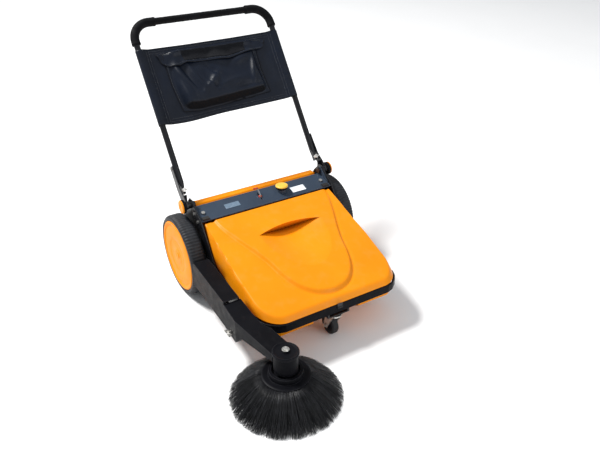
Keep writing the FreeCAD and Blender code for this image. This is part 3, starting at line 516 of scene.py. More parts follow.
def hood_top(x, y):
    """Height of the hood's top over (x, y), in mm, with its raised panel and finger scoop."""
    z = HOOD_TOP + (y - HOOD_REAR) * HOOD_SLOPE + 3.0 * (1 - (x / 250) ** 2) * smooth_step(-y, 84, 160)
    ys = np.concatenate([np.linspace(-60, -440, 60), np.linspace(-444, -500, 40), np.linspace(-500.5, -508, 20)])
    half = shield_half(ys)
    inside = np.where((np.abs(x - SHIELD_X) < shield_half(y)) & (y > -508), 1, -1)
    edge = inside * distance_to(x, y, outline_round(SHIELD_X - half, SHIELD_X + half, ys))
    raise_by = 4.5 + 6.0 * smooth_step(-y, 110, 320)
    z = z + raise_by * smooth_step(edge, -4.0, 5.5) - 1.6 * np.exp(-((edge + 7) / 4.5) ** 2)
    across = (x - SLOT_X) / SLOT_HALF
    along = (-y - SLOT_Y + slot_rise(x)) / (BOWL_LONG + slot_rise(x))
    round_in = np.clip(1 - across ** 2 - np.clip(along, 0, 1) ** 2, 0, 1)
    bowl = round_in ** 1.05 * np.clip(1 - across ** 2, 0, 1) ** 0.25 * np.clip(1 - 0.55 * along, 0, 1)
    return z - np.where(along > 0, SLOT_DEEP * bowl, 0)


def corner_rows(angles):
    """The rows through the hood's round front corners, at angles in degrees."""
    return [HOOD_FRONT + HOOD_CORNER * (1 - math.sin(math.radians(a))) for a in angles]


def hood():
    rows = [HOOD_REAR, HOOD_REAR - 0.6, HOOD_REAR - 2.2] + list(np.linspace(HOOD_REAR - 5, -SLOT_Y + 2.4, 44))
    rows += [-SLOT_Y + 1.2, -SLOT_Y + 0.3, -SLOT_Y - 0.4, -SLOT_Y - 1.4]
    rows += list(np.linspace(-SLOT_Y - 3, HOOD_TURN, 104))
    rows = np.array(rows + corner_rows(np.linspace(3, 90, 30)))
    side = np.array([0, 1, 2.5, 4.5, 6.5, 8.5, 10.5, 12.5, 14.5, 17, 20, 24, 30, 37]) / 270
    cols = np.concatenate([-1 + side, np.linspace(-1 + 41 / 270, 1 - 41 / 270, 168), (1 - side)[::-1]])
    y = np.repeat(rows[:, None], len(cols), 1)
    x = cols[None, :] * hood_outline(y)
    # The rows near the slot bow with its rear edge, so the edge stays clean.
    y = y + slot_rise(x) * np.exp(-((y + SLOT_Y) / 60) ** 2)
    ys = np.concatenate([np.linspace(HOOD_REAR + 20, HOOD_TURN, 60), corner_rows(range(2, 91, 2))])
    gap = distance_to(x, y, outline_round(-hood_outline(ys), hood_outline(ys), ys))
    low, top = hood_lower(y), hood_top(x, y)
    run = np.interp(-y, [84, 185, 300, 420, 500], [7, 9, 13, 15, 14])
    z = smooth_min(top, low + (top - low) * 1.08 * gap / run, 8.0)
    z = np.where(gap < 1e-6, low, z)
    rear = HOOD_REAR - y
    z = z - np.where(rear < 4, 4 - np.sqrt(np.clip(16 - (4 - rear) ** 2, 0, 16)), 0)
    # The slot's rear wall leans back under the top, which shades it.
    deep = SLOT_DEEP * np.clip(1 - ((x - SLOT_X) / SLOT_HALF) ** 2, 0, 1) ** 1.1
    lean = sum(share * (np.abs(rows + SLOT_Y + past) < 0.01) for past, share in ((0.4, 0.62), (1.4, 0.56), (3, 0.28)))
    y = y + deep * lean[:, None]
    points = np.stack([np.vstack([x[:1], x]), np.vstack([y[:1], y]), np.vstack([np.minimum(z[:1], 288.0), z])], -1)
    faces = quads(points.shape[0], points.shape[1])
    shell = piece("hood_shell", points.reshape(-1, 3) * MM, faces, "hood", "yellow", ["hood"])
    face_up(shell)
    thicken(shell, 3.5, -1)
    shell.data.set_sharp_from_angle(angle=math.radians(50))
    rod_y, rod_z = -0.096, 0.278
    rib_outline = ((-0.007, rod_z), (-0.0055, rod_z + 0.017), (0.0055, rod_z + 0.0185), (0.0065, rod_z))
    knuckles = Shapes()
    for x in (-0.215, 0.215):
        profile = [(0.0032, x - 0.015), (0.0065, x - 0.015), (0.0070, x - 0.0138), (0.0070, x + 0.0138),
                   (0.0065, x + 0.015), (0.0032, x + 0.015), (0.0032, x - 0.015)]
        knuckles.turned(profile, 32, (0, rod_y, rod_z))
        for rib in (-0.012, 0.0, 0.012):
            knuckles.add([(x + rib + dx, rod_y + dy, z) for dx in (-0.0015, 0.0015) for dy, z in rib_outline],
                         [(0, 1, 2, 3), (7, 6, 5, 4), (0, 4, 5, 1), (1, 5, 6, 2), (2, 6, 7, 3), (3, 7, 4, 0)])
    knuckles.build("hood_knuckles", "hood", "yellow", crease=35)


def face_up(obj):
    """Turns the faces of an open sheet so that most of it faces up."""
    if sum(p.normal.z * p.area for p in obj.data.polygons) < 0:
        obj.data.flip_normals()


# ---- wheels

def wheels():
    ribs, groove = 84, (0, 0, 0, -1.5, -1.5)
    for side, sign in (("left", -1), ("right", 1)):
        low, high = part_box(side + "_tyre")
        radius = (high.z - low.z) / 2 / MM
        inner, outer = sorted((abs(low.x) / MM, abs(high.x) / MM))
        mid, wide = (inner + outer) / 2, outer - inner
        bore = radius - 18
        tread = [(radius - 7 * abs(2 * part) ** 6, part * (wide - 3)) for part in np.linspace(-0.5, 0.5, 13)]
        section = [(bore, -wide / 2 + 2), (bore + 1, -wide / 2 + 0.6), (bore + 8, -wide / 2)]
        section += [(radius - 7.4, -wide / 2 + 0.6)] + tread[1:-1] + [(radius - 7.4, wide / 2 - 0.6)]
        section += [(bore + 8, wide / 2), (bore + 1, wide / 2 - 0.6), (bore, wide / 2 - 2), (bore, -wide / 2 + 2)]

        def ribbed(index, step, section=section, radius=radius):
            """Cross grooves on the tread, either side of a plain middle band."""
            r, along = section[index]
            return groove[step % len(groove)] * MM if r >= radius - 8 and abs(along) > 3.2 else 0

        shape = Shapes()
        shape.turned([(r * MM, (sign * mid + a) * MM) for r, a in section], ribs * len(groove), (0, 0, radius * MM),
                     wobble=ribbed)
        shape.build(side + "_tyre_tread", side + "_wheel", "tyre", [side + "_tyre"], crease=50)
        face = [(0, 5.0), (6, 5.2), (10.5, 4.4), (11.5, 2.8), (18, 2.2), (21, 3.0), (24, 3.1), (26.5, 2.0), (52, 3.6),
                (58, 3.9), (60, 3.2), (62, 3.2), (64, 4.0), (78, 4.7), (96, 4.6), (110, 3.6), (116, 2.8), (118.5, 3.3),
                (121, 5.4), (124.5, 6.8), (128, 6.6), (130.2, 5.2), (131, 3.0), (131, 0.2), (129, -1.0), (0, -1.0)]
        disc_low, disc_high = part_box(side + "_wheel_disc")
        plane = min(abs(disc_low.x), abs(disc_high.x)) / MM + 3.0
        shape = Shapes()
        shape.turned([(r * MM, sign * (plane + a) * MM) for r, a in face], 160, (0, 0, radius * MM))
        shape.build(side + "_wheel_cover", side + "_wheel", "yellow", [side + "_wheel_disc"], finish=WHEEL_YELLOW,
                    crease=40)


# ---- brushes

def bristles(name, strands, body, replaces):
    """strands is a list of (points, root radius, tip radius), each one three-sided and pointed."""
    shape = Shapes()
    for path, root, tip in strands:
        ahead = (path[-1] - path[0]).normalized()
        side = ahead.orthogonal().normalized()
        up = ahead.cross(side)
        points = []
        for i, p in enumerate(path):
            r = root + (tip - root) * i / (len(path) - 1)
            for a in (0, 2 * math.pi / 3, 4 * math.pi / 3):
                points.append(p + (side * math.cos(a) + up * math.sin(a)) * r)
        end = len(points)
        shape.add(points, quads(len(path), 3, ring=True) + [(2, 1, 0), (end - 3, end - 2, end - 1)])
    piece(name, shape.points, shape.faces, body, "bristle", replaces)


def side_brush():
    low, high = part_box("side_brush_bristles")
    centre = Vector(((low.x + high.x) / 2, (low.y + high.y) / 2, 0))
    reach = (high.x - low.x) / 2
    top = high.z + 0.006
    rng = random.Random(11)
    strands = []
    layers = ((64, 71, 0.955, 1.0, 44, 22), (56, 65, 0.88, 0.97, 40, 18), (46, 57, 0.76, 0.90, 34, 16),
              (34, 47, 0.60, 0.80, 26, 14))
    for inner, outer, near, far, tufts, each in layers:
        for tuft in range(tufts):
            turn = 2 * math.pi * (tuft + rng.uniform(-0.12, 0.12)) / tufts
            lean = rng.gauss(0, 0.035)
            for _ in range(each):
                a = turn + rng.uniform(-1, 1) * 1.1 * math.pi / tufts
                b = turn + (a - turn) * 1.25 + lean + rng.gauss(0, 0.022)
                r0 = rng.uniform(inner, outer) * MM
                r1 = reach * rng.uniform(near, far)
                if rng.random() < 0.06:
                    r1 *= rng.uniform(0.93, 1.0)
                z1 = rng.uniform(0.8, 6.5) * MM
                bow = rng.uniform(4, 10) * MM
                path = []
                for t in (0, 0.3, 0.6, 0.85, 1.0):
                    angle = a + (b - a) * t
                    r = r0 + (r1 - r0) * t
                    z = top + (z1 - top) * t + bow * math.sin(math.pi * t)
                    path.append(centre + Vector((r * math.cos(angle), r * math.sin(angle), z)))
                strands.append((path, 0.95 * MM, 0.55 * MM))
    bristles("side_brush_tufts", strands, "side_brush", ["side_brush_bristles"])


def main_brush():
    low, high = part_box("brush_bristles")
    axis = Vector((0, (low.y + high.y) / 2, (low.z + high.z) / 2))
    reach = (high.y - low.y) / 2
    rng = random.Random(5)
    strands = []
    rows, tufts, each = 8, 34, 9
    for row in range(rows):
        for tuft in range(tufts):
            x = low.x + (high.x - low.x) * (tuft + 0.5) / tufts
            for _ in range(each):
                a = 2 * math.pi * row / rows + rng.gauss(0, 0.035)
                b = a + rng.gauss(0, 0.05)
                x0 = x + rng.uniform(-3, 3) * MM
                x1 = max(low.x, min(high.x, x0 + rng.gauss(0, 2.5) * MM))
                r0, r1 = 0.052, reach * rng.uniform(0.965, 0.998)
                path = [axis + Vector((x0 + (x1 - x0) * t, (r0 + (r1 - r0) * t) * math.cos(a + (b - a) * t),
                                       (r0 + (r1 - r0) * t) * math.sin(a + (b - a) * t))) for t in (0, 0.5, 1)]
                strands.append((path, 0.9 * MM, 0.7 * MM))
    bristles("main_brush_tufts", strands, "main_brush", ["brush_bristles"])


# ---- handle

GRIP_TOP = 616 * MM
LEG = 277 * MM
BEND = 66 * MM


def handle_path(start, end, steps):
    """Points of the tube's right half, from start to end along it from the middle of the top bar."""
    flat = LEG - BEND
    arc = BEND * math.pi / 2
    points = []
    for d in np.linspace(start, end, steps):
        if d < flat:
            points.append((d, 0, GRIP_TOP))
        elif d < flat + arc:
            a = (d - flat) / BEND
            points.append((flat + BEND * math.sin(a), 0, GRIP_TOP - BEND + BEND * math.cos(a)))
        else:
            points.append((LEG, 0, GRIP_TOP - BEND - (d - flat - arc)))
    return points


def grips():
    arc = BEND * math.pi / 2
    start, end = 184 * MM, (LEG - BEND) + arc + 14 * MM
    shape = Shapes()
    for sign in (-1, 1):
        path = [(sign * x, y, z) for x, y, z in handle_path(start, end, 90)]
        radii = []
        for i in range(90):
            d = (end - start) * i / 89
            from_end = min(d, end - start - d)
            lip = 0.7 * math.exp(-((from_end - 4 * MM) / (4 * MM)) ** 2)
            close = 1.6 * math.exp(-from_end / (1.2 * MM))
            crumple = 0.18 * math.sin(d * 700) * math.exp(-((d - 60 * MM) / (30 * MM)) ** 2)
            radii.append((16.1 + lip - close + crumple) * MM)
        shape.pipe(path, radii, 36)
    elbows = shape.build("elbow_foam", "handle", "grip_foam", ["elbow_grips"], crease=60, place=HANDLE)
    shape = Shapes()
    count = 80
    path = [(-0.1835 + 0.367 * i / (count - 1), 0, GRIP_TOP) for i in range(count)]
    radii = [(12.8 + 0.12 * math.sin(i * 1.7) + 0.10 * math.sin(i * 0.6)) * MM for i in range(count)]
    shape.pipe(path, radii, 36)
    middle = shape.build("middle_foam", "handle", "grip_foam", ["middle_grip"], crease=60, place=HANDLE)


PANEL_LOW, PANEL_HIGH = 237.5 * MM, 512.5 * MM
SLEEVE = 12.6 * MM
SETTLE_FRAMES = 22


def settle(points, faces, held, growth, cap):
    """Lets a sheet of cloth, larger than its outline by growth, settle. No point moves further than cap."""
    scene = bpy.context.scene
    mesh = bpy.data.meshes.new("settling")
    mesh.from_pydata([tuple(HANDLE @ Vector(p)) for p in points], [], faces)
    work = new_object("settling", mesh)
    group = work.vertex_groups.new(name="held")
    group.add(list(held), 1.0, "REPLACE")
    cloth = work.modifiers.new("cloth", "CLOTH")
    cloth.settings.quality = 6
    cloth.settings.mass = 0.25
    cloth.settings.air_damping = 4
    cloth.settings.tension_stiffness = cloth.settings.compression_stiffness = 18
    cloth.settings.shear_stiffness = 8
    cloth.settings.bending_stiffness = 0.15
    cloth.settings.shrink_min = -growth
    cloth.settings.vertex_group_mass = "held"
    cloth.collision_settings.use_collision = False
    cloth.point_cache.frame_end = SETTLE_FRAMES
    for frame_number in range(1, SETTLE_FRAMES + 1):
        scene.frame_set(frame_number)
    settled = work.evaluated_get(bpy.context.evaluated_depsgraph_get()).to_mesh()
    back = HANDLE.inverted()
    result = []
    for start, vertex in zip(points, settled.vertices):
        start = Vector(start)
        move = back @ vertex.co - start
        if move.length > cap:
            move = move.normalized() * cap
        result.append(start + move)
    scene.frame_set(1)
    bpy.data.objects.remove(work)
    return result


def cloth_piece(name, points, faces, thickness_mm, replaces=()):
    """A sheet of fabric with real thickness, from points in the handle's frame."""
    sheet = piece(name, points, faces, "handle", "nylon", replaces, place=HANDLE)
    thicken(sheet, thickness_mm, 0)
    return apply_modifiers(sheet)


def piping(name, line, radius_mm=1.3):
    """A round binding along an edge given in the handle's frame."""
    shape = Shapes()
    shape.pipe(line, [radius_mm * MM] * len(line), 10)
    shape.build(name, "handle", "nylon", finish=WEBBING, place=HANDLE)


def stitches(name, lines):
    """Rows of sewing stitches along lines of points in the handle's frame, standing out along local -Y."""
    pitch, length, radius = 5.0 * MM, 3.2 * MM, 0.42 * MM
    shape = Shapes()
    push = Vector((0, -1, 0)) * MM
    for line in lines:
        line = [Vector(p) for p in line]
        lengths = [0.0]
        for a, b in zip(line, line[1:]):
            lengths.append(lengths[-1] + (b - a).length)

        def at(d, line=line, lengths=lengths):
            i = max(0, min(len(line) - 2, int(np.searchsorted(lengths, d)) - 1))
            return line[i].lerp(line[i + 1], (d - lengths[i]) / max(1e-9, lengths[i + 1] - lengths[i]))

        d = pitch / 2
        while d + length < lengths[-1]:
            path = [at(d + length * share) + push * out
                    for share, out in ((0, 0.25), (0.25, 0.75), (0.75, 0.75), (1, 0.25))]
            shape.pipe(path, [radius * f for f in (0.5, 1, 1, 0.5)], 6)
            d += pitch
    shape.build(name, "handle", "nylon", finish=THREAD, place=HANDLE)


def panel_section():
    """The panel's section across the handle: round one leg, across the front of both, and round the other."""
    inner = LEG - SLEEVE * 0.6
    points = [(-LEG + SLEEVE * math.sin(a), -SLEEVE * math.cos(a)) for a in np.radians(np.linspace(-260, -10, 19))]
    points += [(x, None) for x in np.linspace(-inner, inner, 110)]
    points += [(LEG + SLEEVE * math.sin(a), -SLEEVE * math.cos(a)) for a in np.radians(np.linspace(10, 260, 19))]
    return points


def panel():
    """The fabric panel: one sheet stretched between the legs and sewn round them in sleeves."""
    rows = 64
    section = panel_section()
    points = []
    for v in np.linspace(0, 1, rows):
        for x, y in section:
            u = x / LEG
            pull = max(0.0, 1 - u * u)
            z = PANEL_LOW + (PANEL_HIGH - PANEL_LOW) * v
            z += (3.2 * u - 7.5 * math.exp(-((u + 0.66) / 0.36) ** 2) - 3.0 * pull) * MM * (1 - v) ** 3
            z += (2.5 - 3.0 * pull) * MM * v ** 3
            if y is None:
                near = min(1.0, (LEG - abs(x)) / (40 * MM))
                ease = near * near * (3 - 2 * near)
                sag = 3.0 * math.sin(math.pi * v) ** 0.8 * pull
                y = (-SLEEVE * (1 - ease) - 2.0 * MM * ease) + sag * MM * ease
                y += 0.7 * MM * math.sin(9 * u + 5 * v) * ease * pull
                pucker = math.exp(-((LEG - abs(x) - 18 * MM) / (10 * MM)) ** 2)
                y += 0.6 * MM * pucker * math.sin(v * 80 + 3 * math.sin(v * 13))
                bow = math.sin(math.pi * v)
                y -= 2.2 * MM * ease * math.exp(-(((u - 0.82) * 9 + (v - 0.5) * 2.0) / 0.55) ** 2) * bow
                y -= 1.5 * MM * ease * math.exp(-(((u + 0.80) * 9 - (v - 0.4) * 3.0) / 0.6) ** 2) * bow
            points.append(Vector((x, y, z)))
    width = len(section)
    sheet = cloth_piece("fabric_sling", points, quads(rows, width), 0.9, ["fabric_panel"])
    hems = [points[r * width + 24:(r + 1) * width - 24] for r in (2, 4, rows - 5, rows - 3)]
    seams = [points[width + c:(rows - 1) * width:width] for c in (22, 24, width - 25, width - 23)]
    stitches("panel_stitches", hems + seams)
    for name, r in (("panel_hem_low", 0), ("panel_hem_high", rows - 1)):
        piping(name, points[r * width + 19:(r + 1) * width - 19], 1.2)
    return sheet


# The pouch's outline, in mm in the handle's frame: sides over its height (0 to 1), foot over its width (-1 to 1).
POCKET_LEFT = ((0, 0.2, 0.45, 0.8, 1), (-184, -190, -197, -200, -198))
POCKET_RIGHT = ((0, 0.2, 0.45, 0.8, 1), (181, 176, 172, 175, 178))
POCKET_FOOT = ((-1, -0.65, -0.2, 0.2, 1), (265, 257, 261, 267, 278))
POCKET_TOP = 487
POCKET_DEEP = 46
FOLD_HIGH = 1.5
# Each fold runs from (u, v) to (u, v) over the pouch, with a width and a height in mm.
FOLDS = ((-0.88, 0.80, -0.52, 0.10, 0.050, 6.0), (-0.74, 0.88, -0.58, 0.30, 0.040, -4.5),
         (-0.62, 0.86, -0.36, 0.16, 0.040, 4.5), (-0.60, 0.10, 0.02, 0.55, 0.045, 6.5),
         (-0.40, 0.14, 0.55, 0.36, 0.050, 5.0), (0.30, 0.62, 0.88, 0.78, 0.050, 4.5),
         (0.90, 0.85, 0.66, 0.20, 0.045, 5.5), (-0.25, 0.70, 0.05, 0.42, 0.035, -4.0),
         (0.05, 0.22, 0.80, 0.17, 0.035, -3.5), (-0.25, 0.84, 0.35, 0.68, 0.050, 3.0),
         (-0.30, 0.50, -0.10, 0.16, 0.035, -4.0))


def pocket():
    """The pouch on the panel: a bowed sheet sewn down on three sides, with the folds its slack falls into."""
    us = np.concatenate([np.linspace(-1, -0.78, 14)[:-1], np.linspace(-0.78, 0.78, 84), np.linspace(0.78, 1, 14)[1:]])
    vs = np.concatenate([np.linspace(0, 0.14, 13)[:-1], np.linspace(0.14, 1, 54)])
    points = []
    for v in vs:
        left, right = np.interp(v, *POCKET_LEFT), np.interp(v, *POCKET_RIGHT)
        for u in us:
            side = 1 - smooth_step(abs(u), 0.80, 1.0)
            depth = POCKET_DEEP * side * smooth_step(v, 0.0, 0.13)
            depth *= (1.0 - 0.60 * smooth_step(v, 0.12, 1.0)) * (1 - 0.10 * u * u)
            full = min(1.0, depth / 20)
            for u0, v0, u1, v1, wide, high in FOLDS:
                du, dv = u1 - u0, v1 - v0
                t = max(0, min(1, ((u - u0) * du + (v - v0) * dv) / (du * du + dv * dv)))
                off = math.hypot(u - u0 - t * du, (v - v0 - t * dv) * 0.62)
                depth += FOLD_HIGH * high * full * math.sin(math.pi * (0.08 + 0.84 * t)) * math.exp(-(off / wide) ** 2)
            depth += full * (1.2 * math.sin(7 * u + 4 * v) + 0.8 * math.sin(13 * u - 9 * v + 1))
            depth = min(depth, POCKET_DEEP)
            foot = np.interp(u, *POCKET_FOOT)
            x, z = left + (right - left) * (u + 1) / 2, foot + (POCKET_TOP - foot) * v
            points.append(Vector((x, -(depth + 3.4), z)) * MM)
    rows, cols = len(vs), len(us)
    faces = quads(rows, cols)
    held = [r * cols + c for r in range(rows) for c in range(cols) if r in (0, rows - 1) or c in (0, cols - 1)]
    points = settle(points, faces, held, 0.045, 9 * MM)
    for p in points:
        p.y = min(p.y, -3.2 * MM)
    bag = cloth_piece("pocket_bag", points, faces, 1.0, ["pocket"])
    piping("pocket_seam", points[cols::cols][::-1] + points[:cols] + points[2 * cols - 1::cols])
    inset = points[4 * cols + 2::cols][::-1] + points[4 * cols - 3::cols]
    half = len(inset) // 2
    stitches("pocket_stitches", [inset[:half - 1], inset[half + 1:]])
    return bag, points, rows, cols


# The hook-and-loop strip's ends, as shares of the flap's width.
STRIP_FROM, STRIP_TO = 0.20, 0.79
FLAP_TOP = ((-1, -0.68, 0, 0.55, 1), (491, 499, 497, 496, 488))
FLAP_FALL = ((-1, -0.90, -0.72, -0.58, -0.44, 0.22, 0.50, 0.80, 0.94, 1), (40, 56, 66, 58, 62, 68, 56, 42, 38, 30))


def flap(bag_points, bag_rows, bag_cols):
    """The flap that hangs over the pouch's mouth."""
    rows, cols = 26, 118
    body = np.array([[p.x, p.y, p.z] for p in bag_points]).reshape(bag_rows, bag_cols, 3)
    points = []
    for v in np.linspace(0, 1, rows):
        for u in np.linspace(-1, 1, cols):
            top, fall = np.interp(u, *FLAP_TOP), np.interp(u, *FLAP_FALL)
            x = u * (222 - 14 * v) * MM
            z = (top - fall * v) * MM
            near = np.exp(-(((body[:, :, 0] - x) / (9 * MM)) ** 2 + ((body[:, :, 2] - z) / (7 * MM)) ** 2))
            under = float((near * -body[:, :, 1]).sum() / (near.sum() + 0.02)) / MM
            deep = max(under, 3.0) + 3.0 + 3.0 * math.sin(min(1.0, v * 1.6) * math.pi / 2) + 3.5 * v * v
            deep += 2.2 * v * math.sin(9 * u + 1.0) + 1.6 * math.sin(math.pi * v) * math.cos(17 * u)
            deep = 3.6 + (deep - 3.6) * smooth_step(v, 0.0, 0.22)
            points.append(Vector((x, -deep * MM, z)))
    faces = quads(rows, cols)
    held = list(range(2 * cols)) + [r * cols + c for r in range(rows // 2) for c in (0, cols - 1)]
    points = settle(points, faces, held, 0.03, 4 * MM)
    sheet = cloth_piece("pocket_flap", points, faces, 1.0)
    piping("flap_binding", points[2 * cols::cols] + points[(rows - 1) * cols + 1:]
           + points[3 * cols - 1:(rows - 1) * cols:cols][::-1])
    stitches("flap_stitches", [points[r * cols + 3:(r + 1) * cols - 3] for r in (rows - 4, 2)])
    # The hook-and-loop strip sewn across the flap's middle dulls it.
    first, last = int(cols * STRIP_FROM), int(cols * STRIP_TO)
    proud = Vector((0, -1.3 * MM, 0))
    strip = [p + proud for r in range(3, rows - 4) for p in points[r * cols + first:r * cols + last]]
    patch = piece("flap_strip", strip, quads(rows - 7, last - first), "handle", "nylon", finish=WEBBING, place=HANDLE)
    thicken(patch, 0.8, 0)
    apply_modifiers(patch)
    return sheet, patch


# ---- controls

def fluted_knob(name, body, centre, axis, profile, lobes, depth, slot, replaces, finish=None):
    """A turned knob whose rim is fluted. Profile entries are (radius, along, share of the flutes)."""
    shape = Shapes()
    steps = 6

    def flute(index, step):
        return -depth * profile[index][2] * (0.5 - 0.5 * math.cos(2 * math.pi * step / steps)) * MM

    shape.turned([(r * MM, a * MM) for r, a, _ in profile], lobes * steps, centre, axis, wobble=flute)
    shape.build(name, body, slot, replaces, finish=finish, crease=45)


def controls():
    low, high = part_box("height_knob")
    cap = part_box("height_knob_cap")[1].z / MM
    centre = ((low.x + high.x) / 2, (low.y + high.y) / 2, 0)
    base, top = low.z / MM, high.z / MM
    wide = (high.x - low.x) / 2 / MM
    seat = 331
    fluted_knob("height_knob_skirt", "height_dial", centre, "Z",
                [(0, base, 0), (6, base, 0), (6, seat - 1, 0), (wide - 6, seat - 1, 0.4), (wide - 4.5, seat + 0.5, 1),
                 (wide - 3, top - 3, 1), (wide - 3.4, top - 0.6, 1), (wide - 6, top, 0.3), (0, top, 0)], 22, 1.3,
                "dark_plastic", ["height_knob"])
    fluted_knob("height_knob_top", "height_dial", centre, "Z",
                [(0, top + 0.1, 0), (wide - 2.5, top + 0.1, 0), (wide - 1.2, top + 0.8, 1), (wide - 1.0, top + 2.6, 1),
                 (wide - 1.8, top + 4.2, 0.6), (wide - 3.6, top + 5.4, 0.2), (wide - 6, cap - 0.7, 0),
                 (wide - 9, cap - 1.1, 0), (wide - 12, cap - 0.8, 0), (6, cap - 0.2, 0), (0, cap, 0)],
                18, 0.5, "yellow", ["height_knob_cap"], finish=DIAL_YELLOW)
    for side, sign in (("left", -1), ("right", 1)):
        low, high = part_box(side + "_clamp_knob")
        face_low, face_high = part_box(side + "_knob_face")
        centre = (0, (low.y + high.y) / 2, (low.z + high.z) / 2)
        near, far = sorted((abs(low.x) / MM, abs(high.x) / MM))
        face = max(abs(face_low.x), abs(face_high.x)) / MM
        radius = (high.z - low.z) / 2 / MM
        fluted_knob(side + "_clamp_grip", side + "_knob", centre, "X",
                    [(r, sign * a, f) for r, a, f in
                     ((0, near, 0), (13, near, 0), (14, near + 3, 0), (radius - 3, near + 4, 0.5),
                      (radius, near + 6, 1), (radius, far - 2, 1), (radius - 1.4, far, 1), (radius - 4, far, 0),
                      (0, far, 0))], 14, 2.2, "dark_plastic", [side + "_clamp_knob"])
        fluted_knob(side + "_clamp_face", side + "_knob", centre, "X",
                    [(r, sign * a, f) for r, a, f in
                     ((0, far + 0.1, 0), (radius - 1.2, far + 0.1, 0), (radius - 0.4, far + 0.8, 0),
                      (radius - 0.4, far + 1.8, 0), (radius - 1.6, face - 0.8, 0), (radius - 3.6, face, 0),
                      (10, face - 0.6, 0), (8, face - 1.4, 0), (0, face - 1.4, 0))], 24, 0, "yellow",
                    [side + "_knob_face"])


def lever():
    """The bent lever: a flat steel shank in the console's slot, a grey rod up and to the left, a red grip."""
    low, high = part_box("lever_blade")
    grip_low, grip_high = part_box("lever_grip")
    x = (low.x + high.x) / 2
    shape = Shapes()
    half = 1.9 * MM
    side = [(-0.0457, 0.302), (-0.0445, 0.2985), (-0.040, 0.2965), (-0.0355, 0.2985), (-0.0343, 0.302),
            (-0.0343, 0.326), (-0.024, 0.3385), (-0.029, 0.3415), (-0.0437, 0.330)]
    count = len(side)
    shape.add([(x + sx, y, z) for sx in (-half, half) for y, z in side],
              [tuple(range(count))[::-1], tuple(range(count, 2 * count))]
              + [(i, (i + 1) % count, count + (i + 1) % count, count + i) for i in range(count)])
    shank = shape.build("lever_shank", "lever", "steel", ["lever_blade"], smooth=False)
    edge = shank.modifiers.new("edges", "BEVEL")
    edge.width = 0.5 * MM
    edge.segments = 2
    shape = Shapes()
    y, z = (grip_low.y + grip_high.y) / 2, (grip_low.z + grip_high.z) / 2
    ends = (Vector((grip_high.x - 2 * MM, y - 1 * MM, z)), Vector((grip_low.x, y + 1 * MM, z + 0.4 * MM)))
    path = [ends[0].lerp(ends[1], t) for t in (0, 0.02, 0.08, 0.2, 0.5, 0.8, 0.92, 0.98, 1.0)]
    shape.pipe(path, [r * MM for r in (1.2, 2.4, 3.1, 3.3, 3.1, 3.3, 3.1, 2.4, 1.0)], 20)
    shape.build("lever_handle", "lever", "red_plastic", ["lever_grip"], crease=60)
    shape = Shapes()
    shape.pipe([(x, -0.0335, 0.327), (x, -0.027, 0.3385), (x, -0.0215, 0.3435), (x, y, z)], [1.7 * MM] * 4, 16)
    shape.build("lever_rod", "lever", "steel", crease=60)
    shape = Shapes()
    boss = ((0, -5.6), (4.2, -5.6), (5.0, -4.9), (5.0, -3.0), (3.4, -2.6), (3.4, 2.6), (5.0, 3.0), (5.0, 4.9),
            (4.2, 5.6), (0, 5.6))
    shape.turned([(r * MM, a * MM) for r, a in boss], 28, (x, -0.040, 0.3225))
    shape.build("lever_boss", "chassis", "red_plastic", crease=40)


def hub_bolt():
    """The hexagon bolt and its washer on the side brush's hub."""
    low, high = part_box("hub_cap")
    washer, across, tall = 11.5, 14, 6
    shape = Shapes()
    shape.turned([(0, 0), (washer, 0), (washer, 0.9), (washer - 0.6, 1.5), (0, 1.5)], 36, (0, 0, 0), "Z")
    flat = across / 2
    corner = flat / math.cos(math.pi / 6)
    rings = ((corner, 1.4), (corner, tall - 0.8), (flat, tall), (flat * 0.6, tall), (flat * 0.5, tall - 0.5))
    points = [(r * math.cos(math.pi * k / 3), r * math.sin(math.pi * k / 3), z) for r, z in rings for k in range(6)]
    last = len(points)
    shape.add(points, quads(len(rings), 6, ring=True) + [tuple(range(6))[::-1], tuple(range(last - 6, last))])
    centre = ((low.x + high.x) / 2, (low.y + high.y) / 2, high.z - 0.2 * MM)
    shape.build("hub_bolt", "side_arm", "zinc", crease=25, place=Matrix.Translation(centre) @ Matrix.Scale(MM, 4))


def labels():
    """Two blank plates on the console, the left one grey and the right one white."""
    low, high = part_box("console_labels")
    middle = (low.x + high.x) / 2
    mesh = frame["nodes"]["console_labels"].data
    groups = {}
    for polygon in mesh.polygons:
        groups.setdefault("right" if polygon.center.x > middle else "left", []).append(polygon)
    for side, polygons in groups.items():
        used = sorted({v for p in polygons for v in p.vertices})
        index = {v: i for i, v in enumerate(used)}
        faces = [tuple(index[v] for v in p.vertices) for p in polygons]
        piece(f"{side}_plate", [mesh.vertices[v].co for v in used], faces, "chassis", "label", ["console_labels"],
              finish=LABELS[side], smooth=False)


# ---- build

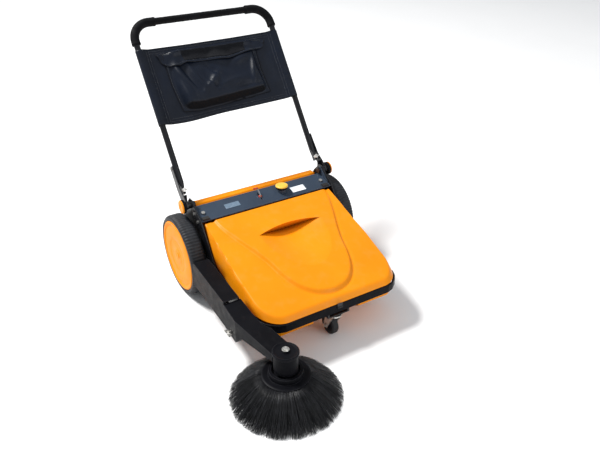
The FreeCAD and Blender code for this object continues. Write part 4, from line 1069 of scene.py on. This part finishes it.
hood()
wheels()
side_brush()
main_brush()
grips()
sling = panel()
bag, bag_points, bag_rows, bag_cols = pocket()
cover, strip = flap(bag_points, bag_rows, bag_cols)
controls()
lever()
labels()
hub_bolt()

for node, width in (("left_side_plate", 1.2), ("right_side_plate", 1.2), ("console_plate", 1.5), ("rear_cover", 5.0),
                    ("front_bumper", 3.0), ("arm_cover", 3.0), ("arm_front", 2.5), ("spindle_housing", 1.5),
                    ("hub_cap", 1.5), ("hopper_tub", 3.0), ("caster_fork", 0.8), ("caster_tyre", 2.0)):
    soften(node, width)

# ---- studio

floor = new_object("floor", bpy.data.meshes.new("floor"))
corners = [(x, y, -0.0005) for x, y in ((-30, -30), (30, -30), (30, 30), (-30, 30))]
floor.data.from_pydata(corners, [], [(0, 1, 2, 3)])
floor.data.materials.append(STUDIO_FLOOR)

world = bpy.data.worlds.new("studio")
world.use_nodes = True
background = world.node_tree.nodes["Background"].inputs
background["Color"].default_value = (0.94, 0.965, 1.0, 1)
background["Strength"].default_value = 0.54
bpy.context.scene.world = world
bpy.context.scene.view_settings.view_transform = "Standard"


def soft_light(name, place, aim, size, watts, tint=(1, 1, 1)):
    lamp = bpy.data.lights.new(name, "AREA")
    lamp.shape = "DISK"
    lamp.size = size
    lamp.energy = watts
    lamp.color = tint
    made = new_object(name, lamp)
    made.location = place
    made.rotation_euler = (Vector(aim) - Vector(place)).to_track_quat("-Z", "Y").to_euler()


soft_light("key", (-2.9, 3.0, 6.4), (0, -0.1, 0.2), 1.6, 670, (1, 0.99, 0.97))
soft_light("fill", (1.6, -4.2, 3.0), (0, -0.2, 0.2), 2.6, 40)

camera = new_object("camera", bpy.data.cameras.new("camera"))
camera.data.sensor_width = 36
camera.data.lens = 38.5
camera.data.clip_end = 100
camera.location = (-0.9752, -1.9100, 1.4361)
view = Vector((0.1398, -0.0681, 0.1659)) - camera.location
roll = Matrix.Rotation(math.radians(-0.12), 3, "Z")
camera.rotation_euler = (view.to_track_quat("-Z", "Y").to_matrix() @ roll).to_euler()
bpy.context.scene.camera = camera
